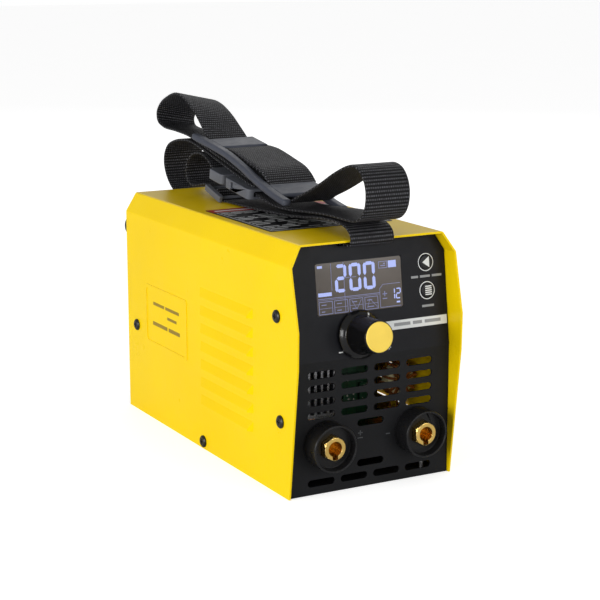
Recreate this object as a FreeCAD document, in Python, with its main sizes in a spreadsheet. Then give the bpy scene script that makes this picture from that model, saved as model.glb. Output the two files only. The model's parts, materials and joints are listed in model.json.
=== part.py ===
import FreeCAD, Part
import math
import os

import Sketcher

# A small stick welder: a bent yellow cover over a black chassis, a tilted control panel, two output
# sockets, the inverter's power parts, a rear fan, a mains cord and a webbing carrying strap.
#
# Row frame, millimetres: +X to the right as seen from the front, +Y towards the rear, +Z up.
# The origin is the centre of the case's footprint, on the face that the welder rests on.

Vector = FreeCAD.Vector
Rotation = FreeCAD.Rotation
Placement = FreeCAD.Placement
X_AXIS = Vector(1, 0, 0)
Y_AXIS = Vector(0, 1, 0)
Z_AXIS = Vector(0, 0, 1)

DRIVING_SIZES = [
    # name, millimetres or degrees, what it is
    ("case_width", 115.0, "outside width of the cover"),
    ("case_height", 153.5, "outside height of the cover"),
    ("case_rear", 120.0, "origin to the cover's rear edge"),
    ("sheet", 1.2, "thickness of every folded sheet"),
    ("fit_gap", 0.3, "gap between sheets that slide together"),
    ("bend_radius", 2.0, "outer radius of the cover's bends"),
    ("corner_drop", 12.5, "height of the cover's sloping top corners"),
    ("corner_inset", 7.8, "width of the cover's sloping top corners"),
    ("visor_front", 118.5, "cover's top sheet to the front of the origin"),
    ("crease_front", 121.8, "cover's front edge at the corner crease"),
    ("brow_front", 130.5, "cover's front edge at its foremost point"),
    ("brow_height", 104.0, "height of the foremost point"),
    ("chin_front", 130.1, "cover's front edge above the lower slope"),
    ("chin_height", 81.5, "height where the lower slope begins"),
    ("toe_front", 120.0, "cover's front edge at the floor"),
    ("panel_front", 118.3, "outer face of the front panel's lower half"),
    ("panel_bend", 82.0, "height of the front panel's bend"),
    ("panel_tilt", 7.5, "lean of the control panel, degrees"),
    ("panel_top", 151.9, "height of the front and rear panels"),
    ("panel_half", 56.0, "half width of the front and rear panels"),
    ("panel_flange", 16.0, "depth of the panels' side flanges"),
    ("rear_face", 118.3, "outer face of the rear panel"),
    ("tray_wall", 14.0, "height of the base tray's side walls"),
    ("louvre_length", 76.0, "length of a side louvre"),
    ("louvre_height", 7.8, "height of a side louvre"),
    ("louvre_pitch", 11.9, "spacing of the side louvres"),
    ("louvre_reach", 2.4, "how far a louvre stands out"),
    ("louvre_slope", 5.0, "length of a louvre's sloping ends"),
    ("louvre_top", 109.4, "top of the highest louvre"),
    ("louvre_front", 75.0, "front end of the louvres from the origin"),
    ("vent_length", 18.7, "length of a front vent slot"),
    ("vent_height", 4.4, "height of a front vent slot"),
    ("vent_pitch", 22.9, "spacing of the vent columns"),
    ("vent_row_pitch", 8.3, "spacing of the vent rows"),
    ("socket_offset", 32.0, "output socket's axis to the centre plane"),
    ("socket_height", 31.0, "output socket's axis above the floor"),
    ("socket_reach", 13.5, "output socket's rim to the panel"),
    ("socket_rim", 14.75, "radius of an output socket's rim"),
    ("socket_bore", 4.53, "radius of an output socket's bore"),
    ("socket_bore_depth", 22.0, "depth of an output socket's bore"),
    ("socket_hex", 14.0, "width across flats of the brass insert"),
    ("window_width", 60.0, "width of the display window"),
    ("window_tall", 31.5, "height of the display window"),
    ("window_across", -5.5, "centre of the window, sideways"),
    ("window_up", 42.5, "centre of the window, up the panel"),
    ("button_across", 42.0, "centre of the buttons, sideways"),
    ("mode_up", 52.4, "centre of the mode button, up the panel"),
    ("menu_up", 35.1, "centre of the menu button, up the panel"),
    ("button_radius", 4.6, "radius of a button"),
    ("knob_across", -8.0, "knob axis, sideways"),
    ("knob_up", 13.6, "knob axis, up the panel"),
    ("knob_reach", 24.0, "knob's front rim to the panel"),
    ("knob_skirt", 15.0, "radius of the knob's skirt"),
    ("knob_grip", 11.4, "radius of the knob's grip at its shoulder"),
    ("knob_nose", 9.9, "radius of the knob's grip at its front"),
    ("knob_cap_radius", 9.2, "radius of the knob's cap"),
    ("shaft_radius", 3.0, "radius of the encoder's shaft"),
    ("running_gap", 0.05, "radial clearance of a running fit"),
    ("board", 1.6, "thickness of a circuit board"),
    ("board_height", 22.0, "underside of the power board"),
    ("control_depth", 10.4, "front of the control board behind the panel"),
    ("fan_half", 40.0, "half width of the fan"),
    ("fan_depth", 25.0, "depth of the fan"),
    ("fan_height", 60.0, "height of the fan's axis"),
    ("switch_across", 30.0, "centre of the power switch, sideways"),
    ("switch_height", 126.0, "centre of the power switch, up"),
    ("rocker_tilt", 9.0, "lean of the rocker at either end, degrees"),
    ("gland_across", -42.0, "mains cord's axis at the gland, sideways"),
    ("gland_height", 127.0, "mains cord's axis at the gland, up"),
    ("cord_radius", 3.8, "radius of the mains cord"),
    ("web_width", 30.0, "width of the strap's webbing"),
    ("web_thick", 1.5, "thickness of the strap's webbing"),
    ("web_across", -2.6, "centre of the webbing, sideways"),
]


class Size:
    """A length that carries both its number and the sheet expression that gives it."""

    def __init__(self, value, text):
        self.value = float(value)
        self.text = text

    def __add__(self, other):
        other = as_size(other)
        return Size(self.value + other.value, f"({self.text} + {other.text})")

    def __radd__(self, other):
        return as_size(other) + self

    def __sub__(self, other):
        other = as_size(other)
        return Size(self.value - other.value, f"({self.text} - {other.text})")

    def __rsub__(self, other):
        return as_size(other) - self

    def __mul__(self, other):
        other = as_size(other)
        return Size(self.value * other.value, f"({self.text} * {other.text})")

    def __rmul__(self, other):
        return as_size(other) * self

    def __truediv__(self, other):
        other = as_size(other)
        return Size(self.value / other.value, f"({self.text} / {other.text})")

    def __neg__(self):
        return Size(-self.value, f"(0 - {self.text})")


def as_size(value):
    """A plain number becomes a size with that number as its expression."""
    if isinstance(value, Size):
        return value
    return Size(value, f"({float(value):.4f})")


class Sizes:
    """The driving sizes by name."""


doc = FreeCAD.newDocument("StickWelder")
sheet = doc.addObject("Spreadsheet::Sheet", "Sizes")
D = Sizes()
for row, (alias, value, meaning) in enumerate(DRIVING_SIZES, start=1):
    sheet.set(f"A{row}", meaning)
    sheet.set(f"B{row}", str(value))
    sheet.setAlias(f"B{row}", alias)
    setattr(D, alias, Size(value, f"Sizes.{alias}"))
doc.recompute()

HALF = D.case_width / 2
SLOPE = math.radians(D.panel_tilt.value)
nodes = {}


# ---------------------------------------------------------------- shared helpers

def bind(item, path, size):
    """Ties a property to the sheet."""
    item.setExpression(path, as_size(size).text)


def place(item, x=0, y=0, z=0, axis=None, angle=0):
    """Puts an object at a point, turned about an axis, with the point tied to the sheet."""
    point = [as_size(value) for value in (x, y, z)]
    turn = Rotation(axis, as_size(angle).value) if axis else Rotation()
    item.Placement = Placement(Vector(*[size.value for size in point]), turn)
    for letter, size in zip("xyz", point):
        bind(item, f"Placement.Base.{letter}", size)
    return item


def free(item, placement):
    """Gives an object a placement worked out here, in place of its tied point."""
    for letter in "xyz":
        item.setExpression(f"Placement.Base.{letter}", None)
    item.Placement = placement
    return item


def on_panel(item):
    """Stands an object, drawn flat with +Z outwards, on the tilted control panel."""
    place(item, 0, -D.panel_front, D.panel_bend, X_AXIS, 90 - D.panel_tilt)
    bind(item, "Placement.Rotation.Angle", 90 - D.panel_tilt)
    return item


def box(name, length, width, height, x=0, y=0, z=0):
    """A block whose lowest corner is at the point."""
    item = doc.addObject("Part::Box", name)
    bind(item, "Length", length)
    bind(item, "Width", width)
    bind(item, "Height", height)
    return place(item, x, y, z)


def block(name, length, width, height, x=0, y=0, z=0):
    """A block centred on x and y, standing on z."""
    return box(name, length, width, height, x - as_size(length) / 2, y - as_size(width) / 2, z)


def rod(name, radius, length, x=0, y=0, z=0, along="z"):
    """A cylinder that starts at the point and runs along +X, +Y, -Y or +Z."""
    item = doc.addObject("Part::Cylinder", name)
    bind(item, "Radius", radius)
    bind(item, "Height", length)
    turns = {"z": (None, 0), "y": (X_AXIS, -90), "-y": (X_AXIS, 90), "x": (Y_AXIS, 90)}
    axis, angle = turns[along]
    return place(item, x, y, z, axis, angle)


def cone(name, low_radius, high_radius, height, x=0, y=0, z=0):
    """A cone frustum that stands on the point."""
    item = doc.addObject("Part::Cone", name)
    bind(item, "Radius1", low_radius)
    bind(item, "Radius2", high_radius)
    bind(item, "Height", height)
    return place(item, x, y, z)


def ring(name, major, minor, x=0, y=0, z=0, axis=None, angle=0):
    """A torus about the point."""
    item = doc.addObject("Part::Torus", name)
    bind(item, "Radius1", major)
    bind(item, "Radius2", minor)
    return place(item, x, y, z, axis, angle)


def hexagon(name, across_flats, height, x=0, y=0, z=0, axis=None, angle=0):
    """A hexagonal prism."""
    item = doc.addObject("Part::Prism", name)
    item.Polygon = 6
    bind(item, "Circumradius", as_size(across_flats) / (2 * math.cos(math.pi / 6)))
    bind(item, "Height", height)
    return place(item, x, y, z, axis, angle)


def joined(name, items):
    """Several touching solids made one."""
    item = doc.addObject("Part::MultiFuse", name)
    item.Shapes = items
    item.Refine = True
    return item


def group(name, items):
    """Several separate solids that share a node."""
    item = doc.addObject("Part::Compound", name)
    item.Links = items
    return item


def cut(name, base, tools):
    """A solid less one or more others."""
    tool = tools[0] if len(tools) == 1 else joined(f"{name}_tools", tools)
    item = doc.addObject("Part::Cut", name)
    item.Base = base
    item.Tool = tool
    return item


def overlap(name, one, other):
    """What two solids share."""
    item = doc.addObject("Part::Common", name)
    item.Base = one
    item.Tool = other
    return item


def keep(name, item):
    """Records an object as one of the welder's sub-parts."""
    item.Label = name
    nodes[name] = item
    return item


def new_body(name):
    return doc.addObject("PartDesign::Body", f"{name}_body")


def sketch_on(body, plane, name, offset=0, across=0, up=0):
    """A sketch on one of the body's own planes, moved along its normal and in the plane."""
    sketch = body.newObject("Sketcher::SketchObject", name)
    support = [item for item in body.Origin.OriginFeatures if item.Role == f"{plane}_Plane"][0]
    sketch.AttachmentSupport = [(support, "")]
    sketch.MapMode = "FlatFace"
    offset, across, up = as_size(offset), as_size(across), as_size(up)
    base = Vector(across.value, up.value, offset.value)
    sketch.AttachmentOffset = Placement(base, Rotation())
    bind(sketch, "AttachmentOffset.Base.x", across)
    bind(sketch, "AttachmentOffset.Base.y", up)
    bind(sketch, "AttachmentOffset.Base.z", offset)
    return sketch


def pin_point(sketch, geometry, end, x, y):
    """Fixes a point of a sketch at a place that the sheet gives."""
    for kind, axis_line, size in (("DistanceX", -2, as_size(x)), ("DistanceY", -1, as_size(y))):
        if abs(size.value) < 1e-6:
            sketch.addConstraint(Sketcher.Constraint("PointOnObject", geometry, end, axis_line))
        else:
            index = sketch.addConstraint(Sketcher.Constraint(kind, -1, 1, geometry, end, size.value))
            sketch.setExpression(f"Constraints[{index}]", size.text)


def draw_outline(sketch, points):
    """A closed outline of straight lines through the points."""
    points = [(as_size(x), as_size(y)) for x, y in points]
    first = sketch.GeometryCount
    count = len(points)
    for index, (x, y) in enumerate(points):
        next_x, next_y = points[(index + 1) % count]
        start = Vector(x.value, y.value, 0)
        end = Vector(next_x.value, next_y.value, 0)
        sketch.addGeometry(Part.LineSegment(start, end), False)
    for index in range(count):
        following = first + (index + 1) % count
        sketch.addConstraint(Sketcher.Constraint("Coincident", first + index, 2, following, 1))
    for index, (x, y) in enumerate(points):
        pin_point(sketch, first + index, 1, x, y)


def draw_rectangle(sketch, x, y, width, height):
    """A rectangle centred on the point."""
    x, y, half_width, half_height = as_size(x), as_size(y), as_size(width) / 2, as_size(height) / 2
    draw_outline(sketch, [
        (x - half_width, y - half_height),
        (x + half_width, y - half_height),
        (x + half_width, y + half_height),
        (x - half_width, y + half_height),
    ])


def draw_circle(sketch, x, y, radius):
    radius = as_size(radius)
    centre = Vector(as_size(x).value, as_size(y).value, 0)
    index = sketch.addGeometry(Part.Circle(centre, Z_AXIS, radius.value), False)
    pin_point(sketch, index, 3, x, y)
    number = sketch.addConstraint(Sketcher.Constraint("Radius", index, radius.value))
    sketch.setExpression(f"Constraints[{number}]", radius.text)


def draw_slot(sketch, x, y, length, height):
    """A slot with round ends, along the sketch's X."""
    x, y, radius = as_size(x), as_size(y), as_size(height) / 2
    reach = as_size(length) / 2 - radius
    left = Vector((x - reach).value, y.value, 0)
    right = Vector((x + reach).value, y.value, 0)
    rise = Vector(0, radius.value, 0)
    quarter = math.pi / 2
    first = sketch.addGeometry(
        Part.ArcOfCircle(Part.Circle(left, Z_AXIS, radius.value), quarter, 3 * quarter), False)
    second = sketch.addGeometry(
        Part.ArcOfCircle(Part.Circle(right, Z_AXIS, radius.value), -quarter, quarter), False)
    top = sketch.addGeometry(Part.LineSegment(left + rise, right + rise), False)
    bottom = sketch.addGeometry(Part.LineSegment(left - rise, right - rise), False)
    for arc, end, line, line_end in (
        (first, 1, top, 1),
        (second, 2, top, 2),
        (first, 2, bottom, 1),
        (second, 1, bottom, 2),
    ):
        sketch.addConstraint(Sketcher.Constraint("Tangent", arc, end, line, line_end))
    sketch.addConstraint(Sketcher.Constraint("Equal", first, second))
    pin_point(sketch, first, 3, x - reach, y)
    pin_point(sketch, second, 3, x + reach, y)
    number = sketch.addConstraint(Sketcher.Constraint("Radius", first, radius.value))
    sketch.setExpression(f"Constraints[{number}]", radius.text)


def pad(body, sketch, length, symmetric=False, reverse=False):
    item = body.newObject("PartDesign::Pad", f"{sketch.Name}_pad")
    item.Profile = sketch
    item.SideType = "Symmetric" if symmetric else "One side"
    item.Reversed = reverse
    bind(item, "Length", length)
    sketch.Visibility = False
    return item


def pocket(body, sketch, depth=None, symmetric=False, reverse=False):
    """Cuts a sketch into the body, to a depth, or right through both ways."""
    item = body.newObject("PartDesign::Pocket", f"{sketch.Name}_pocket")
    item.Profile = sketch
    item.Reversed = reverse
    if depth is None:
        item.Type = "ThroughAll"
        item.SideType = "Symmetric"
    else:
        item.Type = "Length"
        item.SideType = "Symmetric" if symmetric else "One side"
        bind(item, "Length", depth)
    sketch.Visibility = False
    return item


def revolved(body, sketch, axis="V_Axis"):
    """Turns a sketch a full turn about one of its own axes."""
    item = body.newObject("PartDesign::Revolution", f"{sketch.Name}_turned")
    item.Profile = sketch
    item.ReferenceAxis = (sketch, [axis])
    item.Angle = 360
    sketch.Visibility = False
    return item


def row_of(body, feature, sketch, axis, length, count):
    """Repeats a feature along one of its sketch's axes."""
    item = body.newObject("PartDesign::LinearPattern", f"{feature.Name}_row")
    item.Originals = [feature]
    item.Direction = (sketch, [axis])
    bind(item, "Length", length)
    item.Occurrences = count
    body.Tip = item
    return item


def mirrored(body, features):
    """Repeats features on the other side of the centre plane."""
    item = body.newObject("PartDesign::Mirrored", f"{features[0].Name}_mirror")
    item.Originals = features
    plane = [part for part in body.Origin.OriginFeatures if part.Role == "YZ_Plane"][0]
    item.MirrorPlane = (plane, [""])
    body.Tip = item
    return item


def rounded_edges(body, radius, wanted):
    """Fillets the edges of the body's last feature that the test picks."""
    doc.recompute()
    base = body.Tip
    names = [f"Edge{number}" for number, edge in enumerate(base.Shape.Edges, start=1) if wanted(edge)]
    item = body.newObject("PartDesign::Fillet", f"{base.Name}_round")
    item.Base = (base, names)
    bind(item, "Radius", radius)
    return item


def runs_along(edge, axis):
    """Whether an edge is a straight line along an axis."""
    if edge.Curve.TypeId != "Part::GeomLine":
        return False
    start, end = edge.Vertexes[0].Point, edge.Vertexes[-1].Point
    return (end - start).normalize().cross(axis).Length < 1e-6


# ---------------------------------------------------------------- enclosure

SCREW_SPOTS = (
    # along the case, height: the four screws in each side of the cover
    (103.6, 62.2),
    (-2.8, 5.2),
    (-105.5, 109.6),
    (-109.9, 46.2),
)


def case_arch(inset):
    """Right half of the cover's arch, or of a parallel one inside it: foot, crease and top corner."""
    inset = as_size(inset)
    corner_angle = math.atan2(D.corner_drop.value, D.corner_inset.value)
    crease_shift = math.tan((math.pi / 2 - corner_angle) / 2)
    top_shift = math.tan(corner_angle / 2)
    foot = HALF - inset
    crease = D.case_height - D.corner_drop - inset * crease_shift
    shoulder = HALF - D.corner_inset - inset * top_shift
    top = D.case_height - inset
    return [(foot, as_size(0)), (foot, crease), (shoulder, top)]


def other_side(points):
    """Points mirrored across the centre plane, in the opposite order."""
    return [(-x, z) for x, z in reversed(points)]


def cover_shell():
    """The folded cover: one sheet over both sides and the top, with pressed louvres."""
    body = new_body("cover_shell")
    profile = sketch_on(body, "XZ", "cover_profile")
    outer = case_arch(0)
    inner = case_arch(D.sheet)
    draw_outline(profile, outer + other_side(outer) + other_side(inner)[::-1] + inner[::-1])
    length = 2 * D.brow_front + 10
    pad(body, profile, length, symmetric=True)
    bends = D.case_height.value - D.corner_drop.value - D.sheet.value * 2
    inner_limit = D.case_height.value - D.sheet.value * 1.5

    def is_outer_bend(edge):
        if not runs_along(edge, Y_AXIS):
            return False
        point = edge.Vertexes[0].Point
        low = abs(point.z - (D.case_height - D.corner_drop).value) < 0.01
        high = abs(point.z - D.case_height.value) < 0.01
        return (low or high) and point.z > bends

    def is_inner_bend(edge):
        if not runs_along(edge, Y_AXIS):
            return False
        point = edge.Vertexes[0].Point
        return bends < point.z < inner_limit + D.sheet.value and not is_outer_bend(edge)

    rounded_edges(body, D.bend_radius, is_outer_bend)
    rounded_edges(body, D.bend_radius - D.sheet, is_inner_bend)
    front = sketch_on(body, "YZ", "cover_front")
    beyond = D.brow_front + 20
    over = D.case_height + 10
    crease = D.case_height - D.corner_drop
    draw_outline(front, [
        (-beyond, -10),
        (-D.toe_front, -10),
        (-D.toe_front, 0),
        (-D.chin_front, D.chin_height),
        (-D.brow_front, D.brow_height),
        (-D.crease_front, crease),
        (-D.visor_front, D.case_height),
        (-D.visor_front, over),
        (-beyond, over),
    ])
    pocket(body, front)
    rear = sketch_on(body, "YZ", "cover_rear")
    middle = (D.case_rear + beyond) / 2
    draw_rectangle(rear, middle, D.case_height / 2, beyond - D.case_rear, D.case_height + 20)
    pocket(body, rear)
    holes = sketch_on(body, "YZ", "cover_screw_holes")
    for along, up in SCREW_SPOTS:
        draw_circle(holes, along, up, 2.2)
    pocket(body, holes)
    frame = sketch_on(body, "YZ", "nameplate_frame", offset=HALF - 0.2)
    draw_rectangle(frame, 54.5, 74.3, 67, 41.3)
    draw_rectangle(frame, 54.5, 74.3, 63, 37.3)
    bead = pad(body, frame, 0.7)
    mirrored(body, [bead])

    def is_bead_corner(edge):
        return runs_along(edge, X_AXIS) and edge.Length < 0.7 and edge.Vertexes[0].Point.y > 15

    rounded_edges(body, 2.5, is_bead_corner)
    hoods = []
    openings = []
    for side in (-1, 1):
        for number in range(7):
            top = D.louvre_top - D.louvre_pitch * number
            hoods.append(louvre(f"hood_{number}_{side + 1}", side, top, as_size(0)))
            openings.append(louvre(f"opening_{number}_{side + 1}", side, top, D.sheet * 0.7))
    pressed = joined("cover_with_hoods", [body] + hoods)
    keep("cover_shell", cut("cover_shell_pressed", pressed, openings))


def louvre(name, side, top, inset):
    """A pressed hood on one side, open along its lower edge; an inset one is the room inside it."""
    item = doc.addObject("Part::Wedge", name)
    hollow = inset.value > 0
    depth = D.sheet * 1.5 if hollow else D.sheet * 0.5
    reach = D.louvre_reach - inset
    lip = D.sheet * 0.2 if hollow else D.sheet
    height = D.louvre_height - inset
    length = D.louvre_length - 2 * inset
    bind(item, "Xmin", 0)
    bind(item, "Xmax", length)
    bind(item, "X2min", D.louvre_slope)
    bind(item, "X2max", length - D.louvre_slope)
    bind(item, "Ymin", -depth)
    bind(item, "Ymax", reach)
    bind(item, "Zmin", 0)
    bind(item, "Zmax", height)
    bind(item, "Z2min", 0)
    bind(item, "Z2max", lip)
    low = top - D.louvre_height
    start = inset - D.louvre_front if side < 0 else inset - D.louvre_front + length
    return place(item, HALF * side, start, low, Z_AXIS, -90 * side)


BASE_SCREW_SPOTS = ((-42, -110.5), (42, -110.5), (-42, 110.5), (42, 110.5))
BOTTOM_LIP = 12


def base_tray():
    """The chassis floor with low side walls; its underside is what the welder rests on."""
    body = new_body("base_tray")
    floor = sketch_on(body, "XY", "tray_floor")
    tray_front = D.panel_front - D.sheet - 0.2
    draw_rectangle(floor, 0, 0, 2 * D.panel_half, 2 * tray_front)
    pad(body, floor, D.sheet)
    wall = sketch_on(body, "YZ", "tray_wall", offset=D.panel_half - D.sheet)
    wall_reach = D.panel_front - D.panel_flange - 7
    draw_rectangle(wall, 0, D.tray_wall / 2, 2 * wall_reach, D.tray_wall)
    side = pad(body, wall, D.sheet)
    mirrored(body, [side])
    side_holes = sketch_on(body, "YZ", "tray_side_holes")
    draw_circle(side_holes, SCREW_SPOTS[1][0], SCREW_SPOTS[1][1], 2.0)
    pocket(body, side_holes)
    intake = sketch_on(body, "XY", "tray_slots")
    for y in (-27, -9, 9, 27):
        draw_slot(intake, 0, y, 56, 4)
    pocket(body, intake)
    tapers = [
        cone(f"tray_taper_{number}", 3.1, 1.7, 1.4, x, y, -0.1)
        for number, (x, y) in enumerate(BASE_SCREW_SPOTS)
    ]
    clear = [
        rod(f"tray_clear_{number}", 1.8, 3, x, y, -1)
        for number, (x, y) in enumerate(BASE_SCREW_SPOTS)
    ]
    keep("base_tray", cut("base_tray_drilled", body, tapers + clear))


def base_screws():
    """Countersunk screws, flush with the underside, from the tray up into the panels' lips."""
    screws = []
    for number, (x, y) in enumerate(BASE_SCREW_SPOTS):
        head = cone(f"base_screw_head_{number}", 2.9, 1.5, 1.3, x, y, 0.05)
        shank = rod(f"base_screw_shank_{number}", 1.5, 6, x, y, 1.0)
        driver = hexagon(f"base_screw_drive_{number}", 2, 0.8, x, y, 0)
        blank = joined(f"base_screw_blank_{number}", [head, shank])
        screws.append(cut(f"base_screw_{number}", blank, [driver]))
    keep("base_screws", group("base_screw_set", screws))


def side_screws():
    """Black pan-head screws that hold the cover, four in each side."""
    screws = []
    for side in (-1, 1):
        for number, (along, up) in enumerate(SCREW_SPOTS):
            name = f"side_screw_{number}_{side + 1}"
            body = new_body(name)
            section = sketch_on(body, "XZ", f"{name}_section")
            draw_outline(section, [
                (0, -6), (1.8, -6), (1.8, 0.05), (4, 0.05), (4, 0.9), (3.1, 1.7), (0, 1.9)])
            revolved(body, section)
            for cross, (wide, tall) in enumerate(((3.6, 0.9), (0.9, 3.6))):
                recess = sketch_on(body, "XY", f"{name}_recess_{cross}", offset=2)
                draw_rectangle(recess, 0, 0, wide, tall)
                pocket(body, recess, 1.2)
            place(body, (HALF + 0.01) * side, along, up, Y_AXIS, 90 * side)
            screws.append(body)
    keep("side_screws", group("side_screw_set", screws))


def panel_corners(body, name):
    """Trims a panel's top corners to follow the cover's slopes."""
    corners = sketch_on(body, "XZ", name)
    arch = case_arch(D.sheet + D.fit_gap)
    (crease_x, crease_z), (top_x, top_z) = arch[1], arch[2]
    for side in (-1, 1):
        draw_outline(corners, [
            (crease_x * side, crease_z),
            (top_x * side, top_z),
            (top_x * side, top_z + 5),
            ((crease_x + 5) * side, top_z + 5),
            ((crease_x + 5) * side, crease_z),
        ])
    pocket(body, corners)


STRAP_NOTCH = 33
STRAP_NOTCH_DEPTH = 3.2


def front_panel():
    """The folded front panel: upright below, leaning back above, with its vents and openings."""
    body = new_body("front_panel")
    section = sketch_on(body, "YZ", "front_section")
    run = D.panel_top - D.panel_bend
    lean = run * math.tan(SLOPE)
    across = D.sheet / math.cos(SLOPE)
    lip_floor = D.sheet + 0.1
    draw_outline(section, [
        (-D.panel_front, 0.1),
        (-D.panel_front, D.panel_bend),
        (-D.panel_front + lean, D.panel_top),
        (-D.panel_front + lean + across, D.panel_top),
        (-D.panel_front + across, D.panel_bend),
        (-D.panel_front + D.sheet, D.panel_bend - 0.1),
        (-D.panel_front + D.sheet, lip_floor + D.sheet),
        (-D.panel_front + BOTTOM_LIP, lip_floor + D.sheet),
        (-D.panel_front + BOTTOM_LIP, lip_floor),
        (-D.panel_front + D.sheet, lip_floor),
        (-D.panel_front + D.sheet, 0.1),
    ])
    pad(body, section, 2 * D.panel_half, symmetric=True)
    flange = sketch_on(body, "YZ", "front_flange", offset=D.panel_half - D.sheet)
    flange_top = D.case_height - D.corner_drop - 6
    flange_lean = (flange_top - D.panel_bend) * math.tan(SLOPE)
    draw_outline(flange, [
        (-D.panel_front + 0.5, 4),
        (-D.panel_front + 0.5, D.panel_bend),
        (-D.panel_front + 0.5 + flange_lean, flange_top),
        (-D.panel_front + D.panel_flange, flange_top),
        (-D.panel_front + D.panel_flange, 4),
    ])
    side = pad(body, flange, D.sheet)
    mirrored(body, [side])
    panel_corners(body, "front_corners")
    notch = sketch_on(body, "XZ", "front_strap_notch")
    draw_rectangle(notch, D.web_across, D.panel_top - STRAP_NOTCH_DEPTH / 2, STRAP_NOTCH, STRAP_NOTCH_DEPTH)
    pocket(body, notch)
    column = sketch_on(body, "XZ", "vent_column", across=-1.5 * D.vent_pitch)
    for step in range(4):
        draw_slot(column, 0, 49.1 + D.vent_row_pitch * step, D.vent_length, D.vent_height)
    draw_slot(column, 0, 7.2, D.vent_length, D.vent_height)
    first_column = pocket(body, column)
    row_of(body, first_column, column, "H_Axis", 3 * D.vent_pitch, 4)
    singles = sketch_on(body, "XZ", "vent_singles")
    for height in (40.6, 15.2):
        draw_slot(singles, 0, height, D.vent_length, D.vent_height)
    pocket(body, singles)
    sockets = sketch_on(body, "XZ", "socket_holes")
    for side in (-1, 1):
        draw_circle(sockets, D.socket_offset * side, D.socket_height, 11)
    pocket(body, sockets, 2 * (D.panel_front + D.sheet * 3), symmetric=True)
    screw_holes = sketch_on(body, "YZ", "front_screw_holes")
    for along, up in SCREW_SPOTS[2:]:
        draw_circle(screw_holes, along, up, 2.0)
    pocket(body, screw_holes)
    openings = [
        rounded_block(
            "window_opening", D.window_width, D.window_tall, 6, 1.5, D.window_across, D.window_up, -3),
        rod("knob_opening", 3.7, 6, D.knob_across, D.knob_up, -3),
    ]
    for name, up in (("mode", D.mode_up), ("menu", D.menu_up)):
        openings.append(rod(f"{name}_opening", D.button_radius + 0.3, 6, D.button_across, up, -3))
    cutters = on_panel(joined("control_openings", openings))
    lips = [
        rod(f"front_lip_hole_{number}", 1.6, 5, x, y, 0)
        for number, (x, y) in enumerate(BASE_SCREW_SPOTS[:2])
    ]
    keep("front_panel", cut("front_panel_cut", body, [cutters] + lips))


def rounded_block(name, width, tall, depth, radius, x, y, z):
    """A block with rounded upright edges, centred on x and y."""
    body = new_body(name)
    sketch = sketch_on(body, "XY", f"{name}_outline")
    draw_rectangle(sketch, 0, 0, width, tall)
    pad(body, sketch, depth)
    rounded_edges(body, radius, lambda edge: runs_along(edge, Z_AXIS))
    return place(body, x, y, z)


def rear_panel():
    """The folded rear panel, with the fan's opening and the places for switch, gland and strap."""
    body = new_body("rear_panel")
    lip_floor = D.sheet + 0.1
    section = sketch_on(body, "YZ", "rear_section")
    draw_outline(section, [
        (D.rear_face, 0.1),
        (D.rear_face, D.panel_top),
        (D.rear_face - D.sheet, D.panel_top),
        (D.rear_face - D.sheet, lip_floor + D.sheet),
        (D.rear_face - BOTTOM_LIP, lip_floor + D.sheet),
        (D.rear_face - BOTTOM_LIP, lip_floor),
        (D.rear_face - D.sheet, lip_floor),
        (D.rear_face - D.sheet, 0.1),
    ])
    pad(body, section, 2 * D.panel_half, symmetric=True)
    flange = sketch_on(body, "YZ", "rear_flange", offset=D.panel_half - D.sheet)
    flange_top = D.case_height - D.corner_drop - 6
    flange_length = D.panel_flange + 4
    middle = D.rear_face - flange_length / 2 - 0.5
    draw_rectangle(flange, middle, flange_top / 2 + 2, flange_length, flange_top - 4)
    side = pad(body, flange, D.sheet)
    mirrored(body, [side])
    panel_corners(body, "rear_corners")
    notch = sketch_on(body, "XZ", "rear_strap_notch")
    draw_rectangle(notch, D.web_across, D.panel_top - STRAP_NOTCH_DEPTH / 2, STRAP_NOTCH, STRAP_NOTCH_DEPTH)
    pocket(body, notch)
    openings = sketch_on(body, "XZ", "rear_openings")
    draw_circle(openings, 0, D.fan_height, 37)
    for x in (-FAN_SCREW, FAN_SCREW):
        for z in (-FAN_SCREW, FAN_SCREW):
            draw_circle(openings, x, D.fan_height + z, 2.2)
    draw_circle(openings, D.gland_across, D.gland_height, 8.2)
    draw_rectangle(openings, D.switch_across, D.switch_height, 21.4, 28.4)
    pocket(body, openings)
    screw_holes = sketch_on(body, "YZ", "rear_screw_holes")
    draw_circle(screw_holes, SCREW_SPOTS[0][0], SCREW_SPOTS[0][1], 2.0)
    pocket(body, screw_holes)
    lips = [
        rod(f"rear_lip_hole_{number}", 1.6, 5, x, y, 0)
        for number, (x, y) in enumerate(BASE_SCREW_SPOTS[2:])
    ]
    keep("rear_panel", cut("rear_panel_cut", body, lips))


FAN_SCREW = 35.75
OVERLAY = 0.3


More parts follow.
